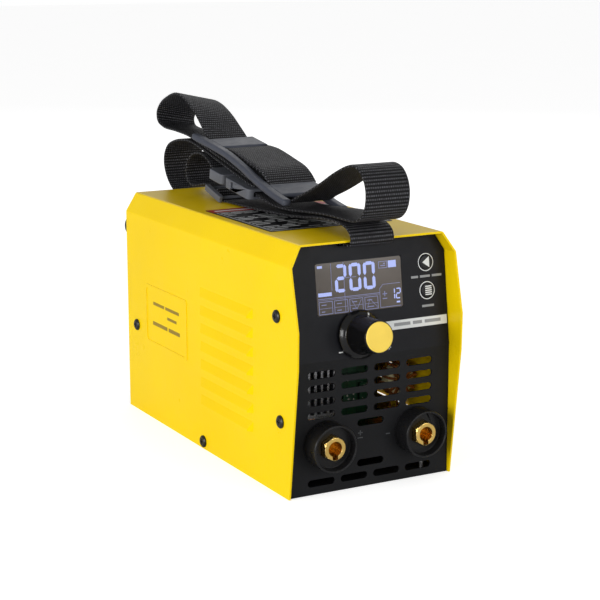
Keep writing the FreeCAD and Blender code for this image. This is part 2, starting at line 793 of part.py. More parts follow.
def front_overlay():
    """The printed film over the leaning half of the front panel."""
    body = new_body("front_overlay")
    film = sketch_on(body, "XY", "overlay_outline")
    arch = case_arch(D.sheet + D.fit_gap + 0.2)
    slant = 1 / math.cos(SLOPE)
    crease_up = (arch[1][1] - D.panel_bend) * slant
    top_up = (D.panel_top - D.panel_bend) * slant - 0.2
    full = (arch[2][1] - D.panel_bend) * slant
    fraction = (top_up.value - crease_up.value) / (full.value - crease_up.value)
    top_half = arch[1][0] + (arch[2][0] - arch[1][0]) * fraction
    half = D.panel_half - 0.2
    draw_outline(film, [
        (-half, 0.2),
        (half, 0.2),
        (half, crease_up),
        (top_half, top_up),
        (-top_half, top_up),
        (-half, crease_up),
    ])
    draw_rectangle(film, D.window_across, D.window_up, D.window_width, D.window_tall)
    draw_circle(film, D.knob_across, D.knob_up, 3.8)
    draw_circle(film, D.button_across, D.mode_up, D.button_radius + 0.3)
    draw_circle(film, D.button_across, D.menu_up, D.button_radius + 0.3)
    pad(body, film, OVERLAY)
    notch_up = top_up + 10 - STRAP_NOTCH_DEPTH
    notch = block("overlay_notch", STRAP_NOTCH + 0.4, 20, 4, D.web_across, notch_up, -2)
    keep("front_overlay", on_panel(cut("front_overlay_cut", body, [notch])))


def top_label():
    """The printed plate stuck to the top of the cover, under the strap."""
    plate = rounded_block("top_label_plate", 87, 92.5, 0.25, 1.5, 0, -25.2, D.case_height + 0.01)
    keep("top_label", plate)


# ---------------------------------------------------------------- control panel

def display_window():
    """The clear plate that fills the display opening."""
    plate = rounded_block(
        "window_plate", D.window_width - 0.6, D.window_tall - 0.6, 1.8, 1.3,
        D.window_across, D.window_up, -1.6)
    keep("display_window", on_panel(group("window_stand", [plate])))


def lcd_module():
    """The display's glass on its backlight tray, on four feet that stand on the control board."""
    width = D.window_width + 6
    tall = D.window_tall + 4
    glass = block("lcd_glass", width - 1, tall - 1, 2.4, D.window_across, D.window_up, -4.2)
    tray = block("lcd_tray", width, tall, 3.2, D.window_across, D.window_up, -7.4)
    feet = []
    for side in (-1, 1):
        for end in (-1, 1):
            x = D.window_across + (width / 2 - 3) * side
            y = D.window_up + (tall / 2 - 3) * end
            name = f"lcd_foot_{side + 1}_{end + 1}"
            feet.append(block(name, 4, 4, D.control_depth - 7.4, x, y, -D.control_depth))
    keep("lcd_module", on_panel(joined("lcd_stack", [glass, tray] + feet)))


CONTROL_SPACER_SPOTS = ((-46.5, 7), (46.5, 7), (-46.5, 55), (47, 43.8))
POWER_SPACER_SPOTS = ((-46, -78), (46, -78), (-46, 64), (46, 64))
SCREW_HOLE = 1.6
SCREW_SHANK = 1.4


def control_board():
    """The board behind the display, with its microcontroller, connector and screw holes."""
    depth = D.control_depth + D.board
    plate = block("control_plate", 100, 56, D.board, 0, 31, -depth)
    chip = block("control_chip", 12, 12, 1.4, -24, 40, -depth - 1.4)
    plug = block("control_connector", 16, 6, 6, 20, 9, -depth - 6)
    holes = [
        rod(f"control_hole_{number}", SCREW_HOLE, 6, x, y, -depth - 2)
        for number, (x, y) in enumerate(CONTROL_SPACER_SPOTS)
    ]
    board = joined("control_populated", [plate, chip, plug])
    keep("control_board", on_panel(cut("control_drilled", board, holes)))


def tube(name, outer, inner, length, x, y, z, along="z"):
    """A round sleeve."""
    return cut(name, rod(f"{name}_outer", outer, length, x, y, z, along), [
        rod(f"{name}_inner", inner, length, x, y, z, along)])


def board_spacers():
    """Sleeves that hold both boards off the sheet metal."""
    reach = D.control_depth - D.sheet - 0.02
    front = [
        tube(f"control_spacer_{number}", 2.6, SCREW_HOLE, reach, x, y, -D.control_depth)
        for number, (x, y) in enumerate(CONTROL_SPACER_SPOTS)
    ]
    stood = on_panel(group("control_spacer_set", front))
    low = [
        tube(f"power_spacer_{number}", 3, SCREW_HOLE, D.board_height - D.sheet, x, y, D.sheet)
        for number, (x, y) in enumerate(POWER_SPACER_SPOTS)
    ]
    keep("board_spacers", group("board_spacer_set", [stood] + low))


def board_screws():
    """Pan-head screws through both boards into their spacers."""
    front = []
    for number, (x, y) in enumerate(CONTROL_SPACER_SPOTS):
        depth = -D.control_depth - D.board
        head = cone(f"control_screw_head_{number}", 2.2, 2.8, 1.8, x, y, depth - 1.8)
        shank = rod(f"control_screw_shank_{number}", SCREW_SHANK, 8, x, y, depth)
        front.append(joined(f"control_screw_{number}", [head, shank]))
    stood = on_panel(group("control_screw_set", front))
    low = []
    for number, (x, y) in enumerate(POWER_SPACER_SPOTS):
        face = D.board_height + D.board
        head = cone(f"power_screw_head_{number}", 2.8, 2.2, 1.8, x, y, face)
        shank = rod(f"power_screw_shank_{number}", SCREW_SHANK, 10, x, y, face - 10)
        low.append(joined(f"power_screw_{number}", [head, shank]))
    keep("board_screws", group("board_screw_set", [stood] + low))


BUTTON_PROUD = 1.3


def push_button(name, up):
    """A round key with a retaining flange and a stem that reaches into its switch."""
    body = new_body(f"{name}_button")
    section = sketch_on(body, "XZ", f"{name}_section")
    draw_outline(section, [
        (0, -8.1),
        (1.7, -8.1),
        (1.7, -5),
        (2.6, -5),
        (2.6, -2.6),
        (D.button_radius + 1.4, -2.6),
        (D.button_radius + 1.4, -1.6),
        (D.button_radius, -1.6),
        (D.button_radius, BUTTON_PROUD - 0.6),
        (D.button_radius - 0.6, BUTTON_PROUD),
        (0, BUTTON_PROUD),
    ])
    revolved(body, section)
    place(body, D.button_across, up, 0)
    keep(f"{name}_button", on_panel(group(f"{name}_button_stand", [body])))


def tact_switch(name, up):
    """The small switch behind a button, with a well for the button's stem."""
    depth = D.control_depth
    base = block(f"{name}_switch_base", 7, 7, 3.4, D.button_across, up, -depth)
    well = rod(f"{name}_switch_well", 1.85, 2.2, D.button_across, up, 3.4 - depth - 2.0)
    keep(f"{name}_switch", on_panel(cut(f"{name}_switch_welled", base, [well])))


def encoder_body():
    """The rotary encoder's case and threaded bush."""
    base = block("encoder_case", 12, 12, 6.6, D.knob_across, D.knob_up, -D.control_depth)
    bush = rod("encoder_bush", 3.5, 8, D.knob_across, D.knob_up, -4)
    bore = rod("encoder_bore", D.shaft_radius + D.running_gap, 20, D.knob_across, D.knob_up, -8)
    keep("encoder_body", on_panel(cut("encoder_bored", joined("encoder_blank", [base, bush]), [bore])))


def encoder_nut():
    """The hexagonal nut that clamps the encoder to the panel."""
    nut = hexagon("encoder_hex", 10, 2, D.knob_across, D.knob_up, OVERLAY)
    hole = rod("encoder_nut_hole", 3.55, 4, D.knob_across, D.knob_up, -1)
    keep("encoder_nut", on_panel(cut("encoder_nut_bored", nut, [hole])))


KNOB_CLEAR = 0.9


def encoder_shaft():
    """The shaft that the knob turns."""
    shaft = rod("encoder_rod", D.shaft_radius, 26.5, D.knob_across, D.knob_up, -7.5)
    flat = box("encoder_flat", 8, 4, 14, D.knob_across - 4, D.knob_up + 1.5, 8)
    keep("encoder_shaft", on_panel(cut("encoder_shaft_flatted", shaft, [flat])))


def knob_body():
    """The moulded knob: a broad skirt, a curved shoulder and a tapering grip with a recessed front."""
    body = new_body("knob_body")
    section = sketch_on(body, "XZ", "knob_section")
    draw_outline(section, [
        (D.shaft_radius + 0.02, 5),
        (6.2, 5),
        (6.2, KNOB_CLEAR),
        (D.knob_skirt, KNOB_CLEAR),
        (D.knob_skirt, 2.6),
        (D.knob_skirt - 1.3, 4.2),
        (D.knob_grip + 0.6, 5.4),
        (D.knob_grip, 6.6),
        (D.knob_nose, D.knob_reach - 0.6),
        (D.knob_nose - 0.4, D.knob_reach),
        (D.knob_cap_radius + 0.02, D.knob_reach),
        (D.knob_cap_radius + 0.02, D.knob_reach - 2),
        (D.shaft_radius + 0.02, D.knob_reach - 2),
    ])
    revolved(body, section)
    place(body, D.knob_across, D.knob_up, 0)
    keep("knob_body", on_panel(group("knob_stand", [body])))


def knob_cap():
    """The coloured cap pressed into the front of the knob."""
    body = new_body("knob_cap")
    section = sketch_on(body, "XZ", "cap_section")
    seat = D.knob_reach - 2
    draw_outline(section, [
        (0, seat),
        (D.knob_cap_radius, seat),
        (D.knob_cap_radius, D.knob_reach + 0.1),
        (D.knob_cap_radius - 0.5, D.knob_reach + 0.5),
        (0, D.knob_reach + 0.6),
    ])
    revolved(body, section)
    place(body, D.knob_across, D.knob_up, 0)
    keep("knob_cap", on_panel(group("cap_stand", [body])))


# ---------------------------------------------------------------- output sockets

SOCKET_BARREL = 10.8
BARREL_REACH = 10
SOCKET_FLOOR = 8


def at_socket(item, side):
    """Moves a solid drawn along -Y from the panel's face to one of the two sockets."""
    return place(item, D.socket_offset * side, -D.panel_front, D.socket_height, X_AXIS, 90)


def socket_housing(name, side):
    """The insulating sleeve: a rim round a sunken floor, a barrel through the panel, a hexagonal hole."""
    body = new_body(f"{name}_housing")
    section = sketch_on(body, "XZ", f"{name}_housing_section")
    draw_outline(section, [
        (0, -BARREL_REACH - D.sheet),
        (SOCKET_BARREL, -BARREL_REACH - D.sheet),
        (SOCKET_BARREL, 0.02),
        (D.socket_rim, 0.02),
        (D.socket_rim, D.socket_reach - 0.8),
        (D.socket_rim - 0.4, D.socket_reach),
        (D.socket_rim - 1.3, D.socket_reach),
        (D.socket_rim - 1.9, SOCKET_FLOOR),
        (0, SOCKET_FLOOR),
    ])
    revolved(body, section)
    hole = hexagon(f"{name}_housing_hex", D.socket_hex + 0.1, 60, 0, 0, -30, Z_AXIS, 30)
    keep(f"{name}_socket_housing", at_socket(cut(f"{name}_housing_pierced", body, [hole]), side))


INSERT_FRONT = 12.6
INSERT_BACK = 24


def socket_insert(name, side):
    """The brass contact: a hexagonal bar bored at the front with a key slot, and tapped at the back."""
    bar = hexagon(f"{name}_bar", D.socket_hex, INSERT_FRONT + INSERT_BACK, 0, 0, -INSERT_BACK, Z_AXIS, 30)
    front = cone(f"{name}_nose", 9.9, 6.9, 4, 0, 0, INSERT_FRONT - 4)
    sleeve = rod(f"{name}_nose_stock", 12, INSERT_FRONT + INSERT_BACK - 4, 0, 0, -INSERT_BACK)
    shaped = overlap(f"{name}_shaped", bar, joined(f"{name}_envelope", [front, sleeve]))
    bore_start = INSERT_FRONT - D.socket_bore_depth
    bore = rod(f"{name}_bore", D.socket_bore, D.socket_bore_depth + 5, 0, 0, bore_start)
    slot = block(f"{name}_key", 3.6, 4.2, D.socket_bore_depth + 5, 0, -4.6, bore_start)
    tapped = rod(f"{name}_tapping", 3.05, 10.5, 0, 0, -INSERT_BACK - 1)
    keep(f"{name}_socket_insert", at_socket(cut(f"{name}_insert_cut", shaped, [bore, slot, tapped]), side))


def socket_nuts():
    """Large nuts that clamp both housings to the panel from behind."""
    nuts = []
    for side in (-1, 1):
        nut = hexagon(f"socket_nut_{side + 1}", 27, 5, 0, 0, -D.sheet - 5)
        hole = rod(f"socket_nut_hole_{side + 1}", SOCKET_BARREL + 0.05, 12, 0, 0, -10)
        nuts.append(at_socket(cut(f"socket_nut_bored_{side + 1}", nut, [hole]), side))
    keep("socket_nuts", group("socket_nut_set", nuts))


def socket_bolts():
    """Hexagon bolts that hold the busbars to the backs of the inserts."""
    bolts = []
    for side in (-1, 1):
        head = hexagon(f"socket_bolt_head_{side + 1}", 10, 4, 0, 0, -INSERT_BACK - BUSBAR - 4)
        shank = rod(f"socket_bolt_shank_{side + 1}", 3, BUSBAR + 8, 0, 0, -INSERT_BACK - BUSBAR)
        bolts.append(at_socket(joined(f"socket_bolt_{side + 1}", [head, shank]), side))
    keep("socket_bolts", group("socket_bolt_set", bolts))


BUSBAR = 2
BUSBAR_WIDTH = 14


def busbars():
    """Copper strips from the back of each insert down on to the power board."""
    bars = []
    for side in (-1, 1):
        back = -D.panel_front + INSERT_BACK
        foot = D.board_height + D.board
        rise = D.socket_height + 8 - foot
        x = D.socket_offset * side
        upright = block(f"busbar_upright_{side + 1}", BUSBAR_WIDTH, BUSBAR, rise, x, back + BUSBAR / 2, foot)
        flat = block(f"busbar_foot_{side + 1}", BUSBAR_WIDTH, 24, BUSBAR, x, back + 12, foot)
        hole = rod(f"busbar_hole_{side + 1}", 3.1, 10, x, back - 4, D.socket_height, "y")
        bars.append(cut(f"busbar_{side + 1}", joined(f"busbar_blank_{side + 1}", [upright, flat]), [hole]))
    keep("busbars", group("busbar_set", bars))


# ---------------------------------------------------------------- power electronics

BOARD_TOP = D.board_height + D.board
BOARD_WIDTH = 100
BOARD_LENGTH = 154
BOARD_MIDDLE = -7
PACKAGE = 5


def power_board():
    """The main circuit board, on spacers above the tray."""
    body = new_body("power_board")
    outline = sketch_on(body, "XY", "power_board_outline", offset=D.board_height)
    draw_rectangle(outline, 0, BOARD_MIDDLE, BOARD_WIDTH, BOARD_LENGTH)
    for x, y in POWER_SPACER_SPOTS:
        draw_circle(outline, x, y, SCREW_HOLE)
    pad(body, outline, D.board)
    keep("power_board", body)


def heat_sink(name, x, y, width, length, fin_count, fin_height):
    """An aluminium extrusion that rests on its row of packages: a base with upright fins along Y."""
    body = new_body(name)
    seat = BOARD_TOP + PACKAGE
    base = sketch_on(body, "XY", f"{name}_base", offset=seat)
    draw_rectangle(base, 0, 0, width, length)
    pad(body, base, 4)
    fin = sketch_on(body, "XY", f"{name}_fin", offset=seat + 3.9)
    draw_rectangle(fin, -width / 2 + 0.8, 0, 1.6, length)
    first_fin = pad(body, fin, fin_height)
    row_of(body, first_fin, fin, "H_Axis", width - 1.6, fin_count)
    place(body, x, y, 0)
    keep(name, body)


def flat_packages(name, x, spots):
    """Power packages lying under a heat sink, each with three leads down into the board."""
    packages = []
    for number, y in enumerate(spots):
        case = block(f"{name}_case_{number}", 20, 16, PACKAGE, x, y, BOARD_TOP)
        leads = [
            block(f"{name}_lead_{number}_{step + 1}", 4, 1.2, 0.8, x + 11.9, y + 5.4 * step, BOARD_TOP + 0.5)
            for step in (-1, 0, 1)
        ]
        packages.append(joined(f"{name}_{number}", [case] + leads))
    keep(name, group(f"{name}_set", packages))


TRANSFORMER = (27, -38)
CORE_WIDTH = 42
CORE_DEPTH = 20
CORE_TALL = 42
CORE_LEG = 7
CORE_MIDDLE_LEG = 12


def transformer_core():
    """The ferrite core: two yokes, two outer legs and a middle leg round two windows."""
    x, y = TRANSFORMER
    solid = block("core_block", CORE_WIDTH, CORE_DEPTH, CORE_TALL, x, y, BOARD_TOP)
    gap = (CORE_WIDTH - CORE_MIDDLE_LEG) / 2 - CORE_LEG
    room = CORE_TALL - 2 * CORE_LEG
    windows = []
    for side in (-1, 1):
        middle = x + (CORE_MIDDLE_LEG + gap) / 2 * side
        name = f"core_window_{side + 1}"
        windows.append(block(name, gap, CORE_DEPTH + 2, room, middle, y, BOARD_TOP + CORE_LEG))
    keep("transformer_core", cut("core_cut", solid, windows))


def transformer_winding():
    """The taped winding round the core's middle leg."""
    x, y = TRANSFORMER
    gap = (CORE_WIDTH - CORE_MIDDLE_LEG) / 2 - CORE_LEG
    tall = CORE_TALL - 2 * CORE_LEG - 1
    low = BOARD_TOP + CORE_LEG + 0.5
    width = CORE_MIDDLE_LEG + 2 * gap - 1
    winding = rounded_block("winding_block", width, CORE_DEPTH + 16, tall, 5, x, y, low)
    room = block("winding_room", CORE_MIDDLE_LEG + 0.4, CORE_DEPTH + 0.4, tall + 2, x, y, low - 1)
    keep("transformer_winding", cut("winding_cut", winding, [room]))


CHOKE = (43, -84, 53)
CHOKE_DEPTH = 8


def choke_core():
    """The powdered-iron ring of the output choke, standing across the case."""
    x, y, z = CHOKE
    keep("choke_core", tube("choke_ring", 9.5, 5.5, CHOKE_DEPTH, x, y, z, "y"))


def choke_winding():
    """Wire turns round the choke's ring, with two leads down to the board."""
    x, y, z = CHOKE
    turns = []
    for number in range(13):
        angle = math.radians(-60 + 25 * number)
        turn = cut(f"turn_{number}", block(f"turn_outer_{number}", 7.4, CHOKE_DEPTH + 3.4, 1.5), [
            block(f"turn_inner_{number}", 4.2, CHOKE_DEPTH + 0.2, 3, 0, 0, -0.5)])
        offset = Placement(Vector(0, 0, -0.75), Rotation())
        stand = Placement(Vector(x, y + CHOKE_DEPTH / 2, z), Rotation(Y_AXIS, -math.degrees(angle)))
        turn.Placement = stand.multiply(Placement(Vector(7.5, 0, 0), Rotation())).multiply(offset)
        turns.append(turn)
    leads = []
    for number, across in enumerate((x - 1.4, x + 4)):
        leads.append(rod(f"choke_lead_{number}", 0.8, 23, across, y + CHOKE_DEPTH + 2.6, BOARD_TOP))
    keep("choke_winding", group("choke_turns", turns + leads))


def bulk_capacitors():
    """Three upright electrolytic capacitors, each a can with a rolled edge and a scored top."""
    cans = []
    for number, x in enumerate((-33, -7, 19)):
        name = f"capacitor_{number}"
        body = new_body(name)
        section = sketch_on(body, "XZ", f"{name}_section")
        draw_outline(section, [
            (0, 0), (11.4, 0), (12, 0.8), (12, 2.4), (11.4, 3.2), (12, 4), (12, 37.2), (11.2, 38), (0, 38)])
        revolved(body, section)
        for cross, (wide, tall) in enumerate(((14, 0.8), (0.8, 14))):
            score = sketch_on(body, "XY", f"{name}_score_{cross}", offset=38.1)
            draw_rectangle(score, 0, 0, wide, tall)
            pocket(body, score, 0.6)
        cans.append(place(body, x, 55, BOARD_TOP))
    keep("bulk_capacitors", group("capacitor_set", cans))


def rectifier_bridge():
    """The square mains rectifier with its clamping hole and four tabs."""
    body = rounded_block("bridge_case", 26, 26, 9, 2, -1, 22, BOARD_TOP)
    tabs = [
        box(f"bridge_tab_{number}", 0.8, 6, 7, -1 + x, 22 + y, BOARD_TOP + 8.9)
        for number, (x, y) in enumerate(((-9, -10), (8, -10), (-9, 4), (8, 4)))
    ]
    hole = rod("bridge_hole", 2.4, 30, -1, 22, BOARD_TOP - 1)
    keep("rectifier_bridge", cut("bridge_cut", joined("bridge_blank", [body] + tabs), [hole]))


def driver_board():
    """The upright board that drives the transistors, with its chips and small parts."""
    plate = box("driver_plate", 26, D.board, 56, 8, -66, BOARD_TOP)
    chips = (
        # left edge, foot, width, height
        (10, 34, 8, 10),
        (22, 36, 6, 14),
        (10, 52, 14, 5),
        (27, 58, 5, 8),
    )
    parts = [
        box(f"driver_chip_{number}", wide, 2.4, tall, x, -68.2, z)
        for number, (x, z, wide, tall) in enumerate(chips)
    ]
    keep("driver_board", joined("driver_populated", [plate] + parts))


# ---------------------------------------------------------------- ribbons and cables

def smooth_curve(points):
    """A smooth curve through the points."""
    curve = Part.BSplineCurve()
    curve.interpolate(Points=points)
    return curve


def ribbon(name, points, width, thick, across):
    """A flat band: a path in the Y-Z plane, thickened both ways and drawn out along X."""
    path = smooth_curve([Vector(0, y, z) for y, z in points])
    steps = int(path.length() / 1.2)
    upper = []
    lower = []
    for step in range(steps + 1):
        spot = path.parameterAtDistance(path.length() * step / steps)
        along = path.tangent(spot)[0]
        outward = Vector(0, -along.z, along.y) * (thick / 2)
        upper.append(path.value(spot) + outward)
        lower.append(path.value(spot) - outward)
    edges = [
        smooth_curve(upper).toShape(),
        Part.LineSegment(upper[-1], lower[-1]).toShape(),
        smooth_curve(lower).toShape(),
        Part.LineSegment(lower[0], upper[0]).toShape(),
    ]
    face = Part.Face(Part.Wire(Part.__sortEdges__(edges)))
    item = doc.addObject("Part::Feature", name)
    item.Shape = face.extrude(Vector(width, 0, 0))
    item.Placement = Placement(Vector(across - width / 2, 0, 0), Rotation())
    return item


def ribbon_cable():
    """The flat cable from the driver board's top edge to the control board's connector."""
    path = [(-65.2, 80), (-65.2, 86), (-69, 91), (-77, 92), (-88, 89.6), (-99, 88.9)]
    keep("ribbon_cable", ribbon("ribbon_cable_band", path, 14, 1.2, 20))


# ---------------------------------------------------------------- fan

FAN_FRONT = D.rear_face - D.sheet - 0.2 - D.fan_depth
FAN_BORE = 38
FAN_HUB = 15
BLADE_TIP = 36.5


def fan_frame():
    """The fan's square frame, with the stator's seat on four struts on the inner side."""
    body = new_body("fan_frame")
    square = sketch_on(body, "XZ", "fan_square", offset=-FAN_FRONT - D.fan_depth, up=D.fan_height)
    draw_rectangle(square, 0, 0, 2 * D.fan_half, 2 * D.fan_half)
    pad(body, square, D.fan_depth)
    rounded_edges(body, 3.5, lambda edge: runs_along(edge, Y_AXIS))
    openings = sketch_on(body, "XZ", "fan_openings", up=D.fan_height)
    draw_circle(openings, 0, 0, FAN_BORE)
    for x in (-FAN_SCREW, FAN_SCREW):
        for z in (-FAN_SCREW, FAN_SCREW):
            draw_circle(openings, x, z, 2.0)
    pocket(body, openings)
    seat = rod("fan_seat", FAN_HUB + 2, 2.6, 0, FAN_FRONT, D.fan_height, "y")
    struts = []
    for number in range(4):
        turned = Rotation(X_AXIS, -90).multiply(Rotation(Z_AXIS, 90 * number + 45))
        axis_point = Vector(0, FAN_FRONT.value, D.fan_height.value)
        aside = Placement(Vector(0, -2, 0), Rotation())
        strut = box(f"fan_strut_{number}", FAN_BORE + 1, 4, 2.4)
        struts.append(free(strut, Placement(axis_point, turned).multiply(aside)))
    bearing = rod("fan_bearing", 1.5 + D.running_gap, 8, 0, FAN_FRONT - 1, D.fan_height, "y")
    keep("fan_frame", cut("fan_frame_bored", joined("fan_frame_blank", [body, seat] + struts), [bearing]))


def fan_rotor():
    """The fan's hub, shaft and seven pitched blades."""
    start = FAN_FRONT + 3.4
    hub = rod("fan_hub", FAN_HUB, 19, 0, start, D.fan_height, "y")
    shaft = rod("fan_shaft", 1.5, 4, 0, FAN_FRONT + 0.4, D.fan_height, "y")
    blades = []
    for number in range(7):
        pitched = Rotation(Y_AXIS, 360 / 7 * number).multiply(Rotation(X_AXIS, 38))
        middle = Vector(0, (start + 9.5).value, D.fan_height.value)
        aside = Placement(Vector(8, -10, -0.75), Rotation())
        blade = box(f"fan_blade_{number}", 30, 20, 1.5)
        blades.append(free(blade, Placement(middle, pitched).multiply(aside)))
    sweep = rod("fan_sweep", BLADE_TIP, 19, 0, start, D.fan_height, "y")
    trimmed = overlap("fan_blades_trimmed", joined("fan_blades", blades), sweep)
    keep("fan_rotor", joined("fan_rotor_whole", [hub, shaft, trimmed]))


GUARD_FACE = D.rear_face + 1.1
GUARD_WIRE = 0.9


def fan_guard():
    """The wire finger guard outside the fan: four rings on crossed bars with an eye at each screw."""
    parts = []
    ring_face = GUARD_FACE + 1.1
    for number, radius in enumerate((10, 19, 28, 37)):
        parts.append(ring(f"guard_ring_{number}", radius, GUARD_WIRE, 0, ring_face, D.fan_height, X_AXIS, 90))
    reach = FAN_SCREW * math.sqrt(2) - 3.2
    for number in range(4):
        turned = Rotation(Y_AXIS, 90 * number + 45)
        middle = Vector(0, GUARD_FACE.value, D.fan_height.value)
        bar = rod(f"guard_bar_{number}", GUARD_WIRE, reach - 8)
        parts.append(free(bar, Placement(middle, turned).multiply(Placement(Vector(0, 0, 8), Rotation()))))
    for x in (-FAN_SCREW, FAN_SCREW):
        for z in (-FAN_SCREW, FAN_SCREW):
            name = f"guard_eye_{x > 0}_{z > 0}"
            parts.append(ring(name, 3.2, GUARD_WIRE, x, GUARD_FACE, D.fan_height + z, X_AXIS, 90))
    keep("fan_guard", joined("fan_guard_wires", parts))


def fan_screws():
    """Screws through the guard's eyes and the rear panel into the fan's corners."""
    screws = []
    for x in (-FAN_SCREW, FAN_SCREW):
        for z in (-FAN_SCREW, FAN_SCREW):
            name = f"fan_screw_{x > 0}_{z > 0}"
            face = GUARD_FACE + GUARD_WIRE + 0.02
            head = cone(f"{name}_head", 3.9, 2.8, 2.2)
            place(head, x, face, D.fan_height + z, X_AXIS, -90)
            shank = rod(f"{name}_shank", 1.8, 12, x, face - 12, D.fan_height + z, "y")
            driver = block(f"{name}_driver", 1, 6, 4.4, x, face + 4.2, D.fan_height + z - 2.2)
            screws.append(cut(name, joined(f"{name}_blank", [head, shank]), [driver]))
    keep("fan_screws", group("fan_screw_set", screws))


# ---------------------------------------------------------------- switch, gland and cord

ROCKER_WIDTH = 15
PIVOT_DEPTH = D.rear_face - 3
CAVITY_RADIUS = 12.9
PIVOT_PIN = 1.5


def power_switch_body():
    """The power switch's bezel and case, hollowed for the rocker, with its terminals inside."""
    x, z = D.switch_across, D.switch_height
    bezel = rounded_upright("switch_bezel", 24.5, 31.5, 1.8, 2, x, D.rear_face + 0.02, z)
    case = box("switch_case", 21, 18, 28, x - 10.5, D.rear_face + 0.1 - 18, z - 14)
    blades = [
        box(f"switch_blade_{number}", 6.3, 9, 0.8, x - 3.2 + side * 5.5, D.rear_face - 26, z + height)
        for number, (side, height) in enumerate(((-1, -8), (1, -8), (-1, 8), (1, 8)))
    ]
    room = ROCKER_WIDTH + 0.6
    pin_reach = ROCKER_WIDTH + 4
    cavity = rod("switch_cavity", CAVITY_RADIUS, room, x - room / 2, PIVOT_DEPTH, z, "x")
    pin_radius = PIVOT_PIN + D.running_gap
    socket = rod("switch_pin_sockets", pin_radius, pin_reach, x - pin_reach / 2, PIVOT_DEPTH, z, "x")
    blank = joined("switch_blank", [bezel, case] + blades)
    keep("power_switch_body", cut("switch_hollowed", blank, [cavity, socket]))


def rounded_upright(name, width, tall, depth, radius, x, y, z):
    """A plate with rounded corners that stands facing the rear."""
    body = new_body(name)
    sketch = sketch_on(body, "XY", f"{name}_outline")
    draw_rectangle(sketch, 0, 0, width, tall)
    pad(body, sketch, depth, reverse=True)
    rounded_edges(body, radius, lambda edge: runs_along(edge, Z_AXIS))
    return place(body, x, y, z, X_AXIS, 90)


def power_switch_rocker():
    """The rocker, resting at off: its lower half pressed in, its upper half standing proud."""
    body = new_body("power_switch_rocker")
    section = sketch_on(body, "YZ", "rocker_section")
    draw_outline(section, [
        (5.9, 0), (3.9, 11.5), (1, 11.9), (-3, 6), (-7, 2.5), (-7, -2.5), (-3, -6), (1, -11.9), (3.9, -11.5)])
    pad(body, section, ROCKER_WIDTH, symmetric=True)
    pins = sketch_on(body, "YZ", "rocker_pins")
    draw_circle(pins, 0, 0, PIVOT_PIN)
    pad(body, pins, ROCKER_WIDTH + 3, symmetric=True)
    place(body, D.switch_across, PIVOT_DEPTH, D.switch_height, X_AXIS, -D.rocker_tilt)
    bind(body, "Placement.Rotation.Angle", -D.rocker_tilt)
    keep("power_switch_rocker", group("rocker_seated", [body]))


GLAND_THREAD = 8
GLAND_REACH = 23.6
GLAND_BORE = D.cord_radius + 0.2


def at_gland(item):
    """Stands a solid drawn along +Z so that it runs to the rear from the rear panel's face."""
    return place(item, D.gland_across, D.rear_face, D.gland_height, X_AXIS, -90)


def cable_gland_body():
    """The gland's hexagonal flange, its thread through the panel and its clamping sleeve."""
    flange = hexagon("gland_flange", 18, 3.4, 0, 0, 0.02)
    inner = rod("gland_thread", GLAND_THREAD, 12, 0, 0, -10)
    sleeve = rod("gland_sleeve", 6.6, 12, 0, 0, 0)
    bore = rod("gland_bore", GLAND_BORE, 60, 0, 0, -30)
    blank = joined("gland_blank", [flange, inner, sleeve])
    keep("cable_gland_body", at_gland(cut("gland_bored", blank, [bore])))


def cable_gland_nut():
    """The domed nut that squeezes the gland's sleeve on to the cord."""
    body = new_body("cable_gland_nut")
    section = sketch_on(body, "XZ", "gland_nut_section")
    draw_outline(section, [
        (6.7, 3.6),
        (9.8, 3.6),
        (9.8, 17.5),
        (9.2, 20),
        (7.8, 22.2),
        (5.8, GLAND_REACH),
        (GLAND_BORE, GLAND_REACH),
        (GLAND_BORE, 13),
        (6.7, 12.4),
    ])
    revolved(body, section)
    flutes = [
        rod(f"gland_flute_{number}", 1, 13, 10.2 * math.cos(math.radians(30 * number)),
            10.2 * math.sin(math.radians(30 * number)), 3)
        for number in range(12)
    ]
    keep("cable_gland_nut", at_gland(cut("gland_nut_fluted", body, flutes)))


def cable_gland_locknut():
    """The thin nut that holds the gland from inside the rear panel."""
    nut = hexagon("locknut_hex", 20, 4, 0, 0, -D.sheet - 4)
    hole = rod("locknut_hole", GLAND_THREAD + 0.05, 20, 0, 0, -15)
    keep("cable_gland_locknut", at_gland(cut("locknut_bored", nut, [hole])))


COIL_CENTRE = (8, 60)
COIL_HALF_WIDTH = 32
COIL_HALF_TALL = 50
COIL_START = 152
COIL_PITCH = 8.4
COIL_POINTS = 8
PLUG_PLACE = (8, 162)
PLUG_TOP = 86
CORD_TAIL = 98
CORD_STRAIGHT = 143


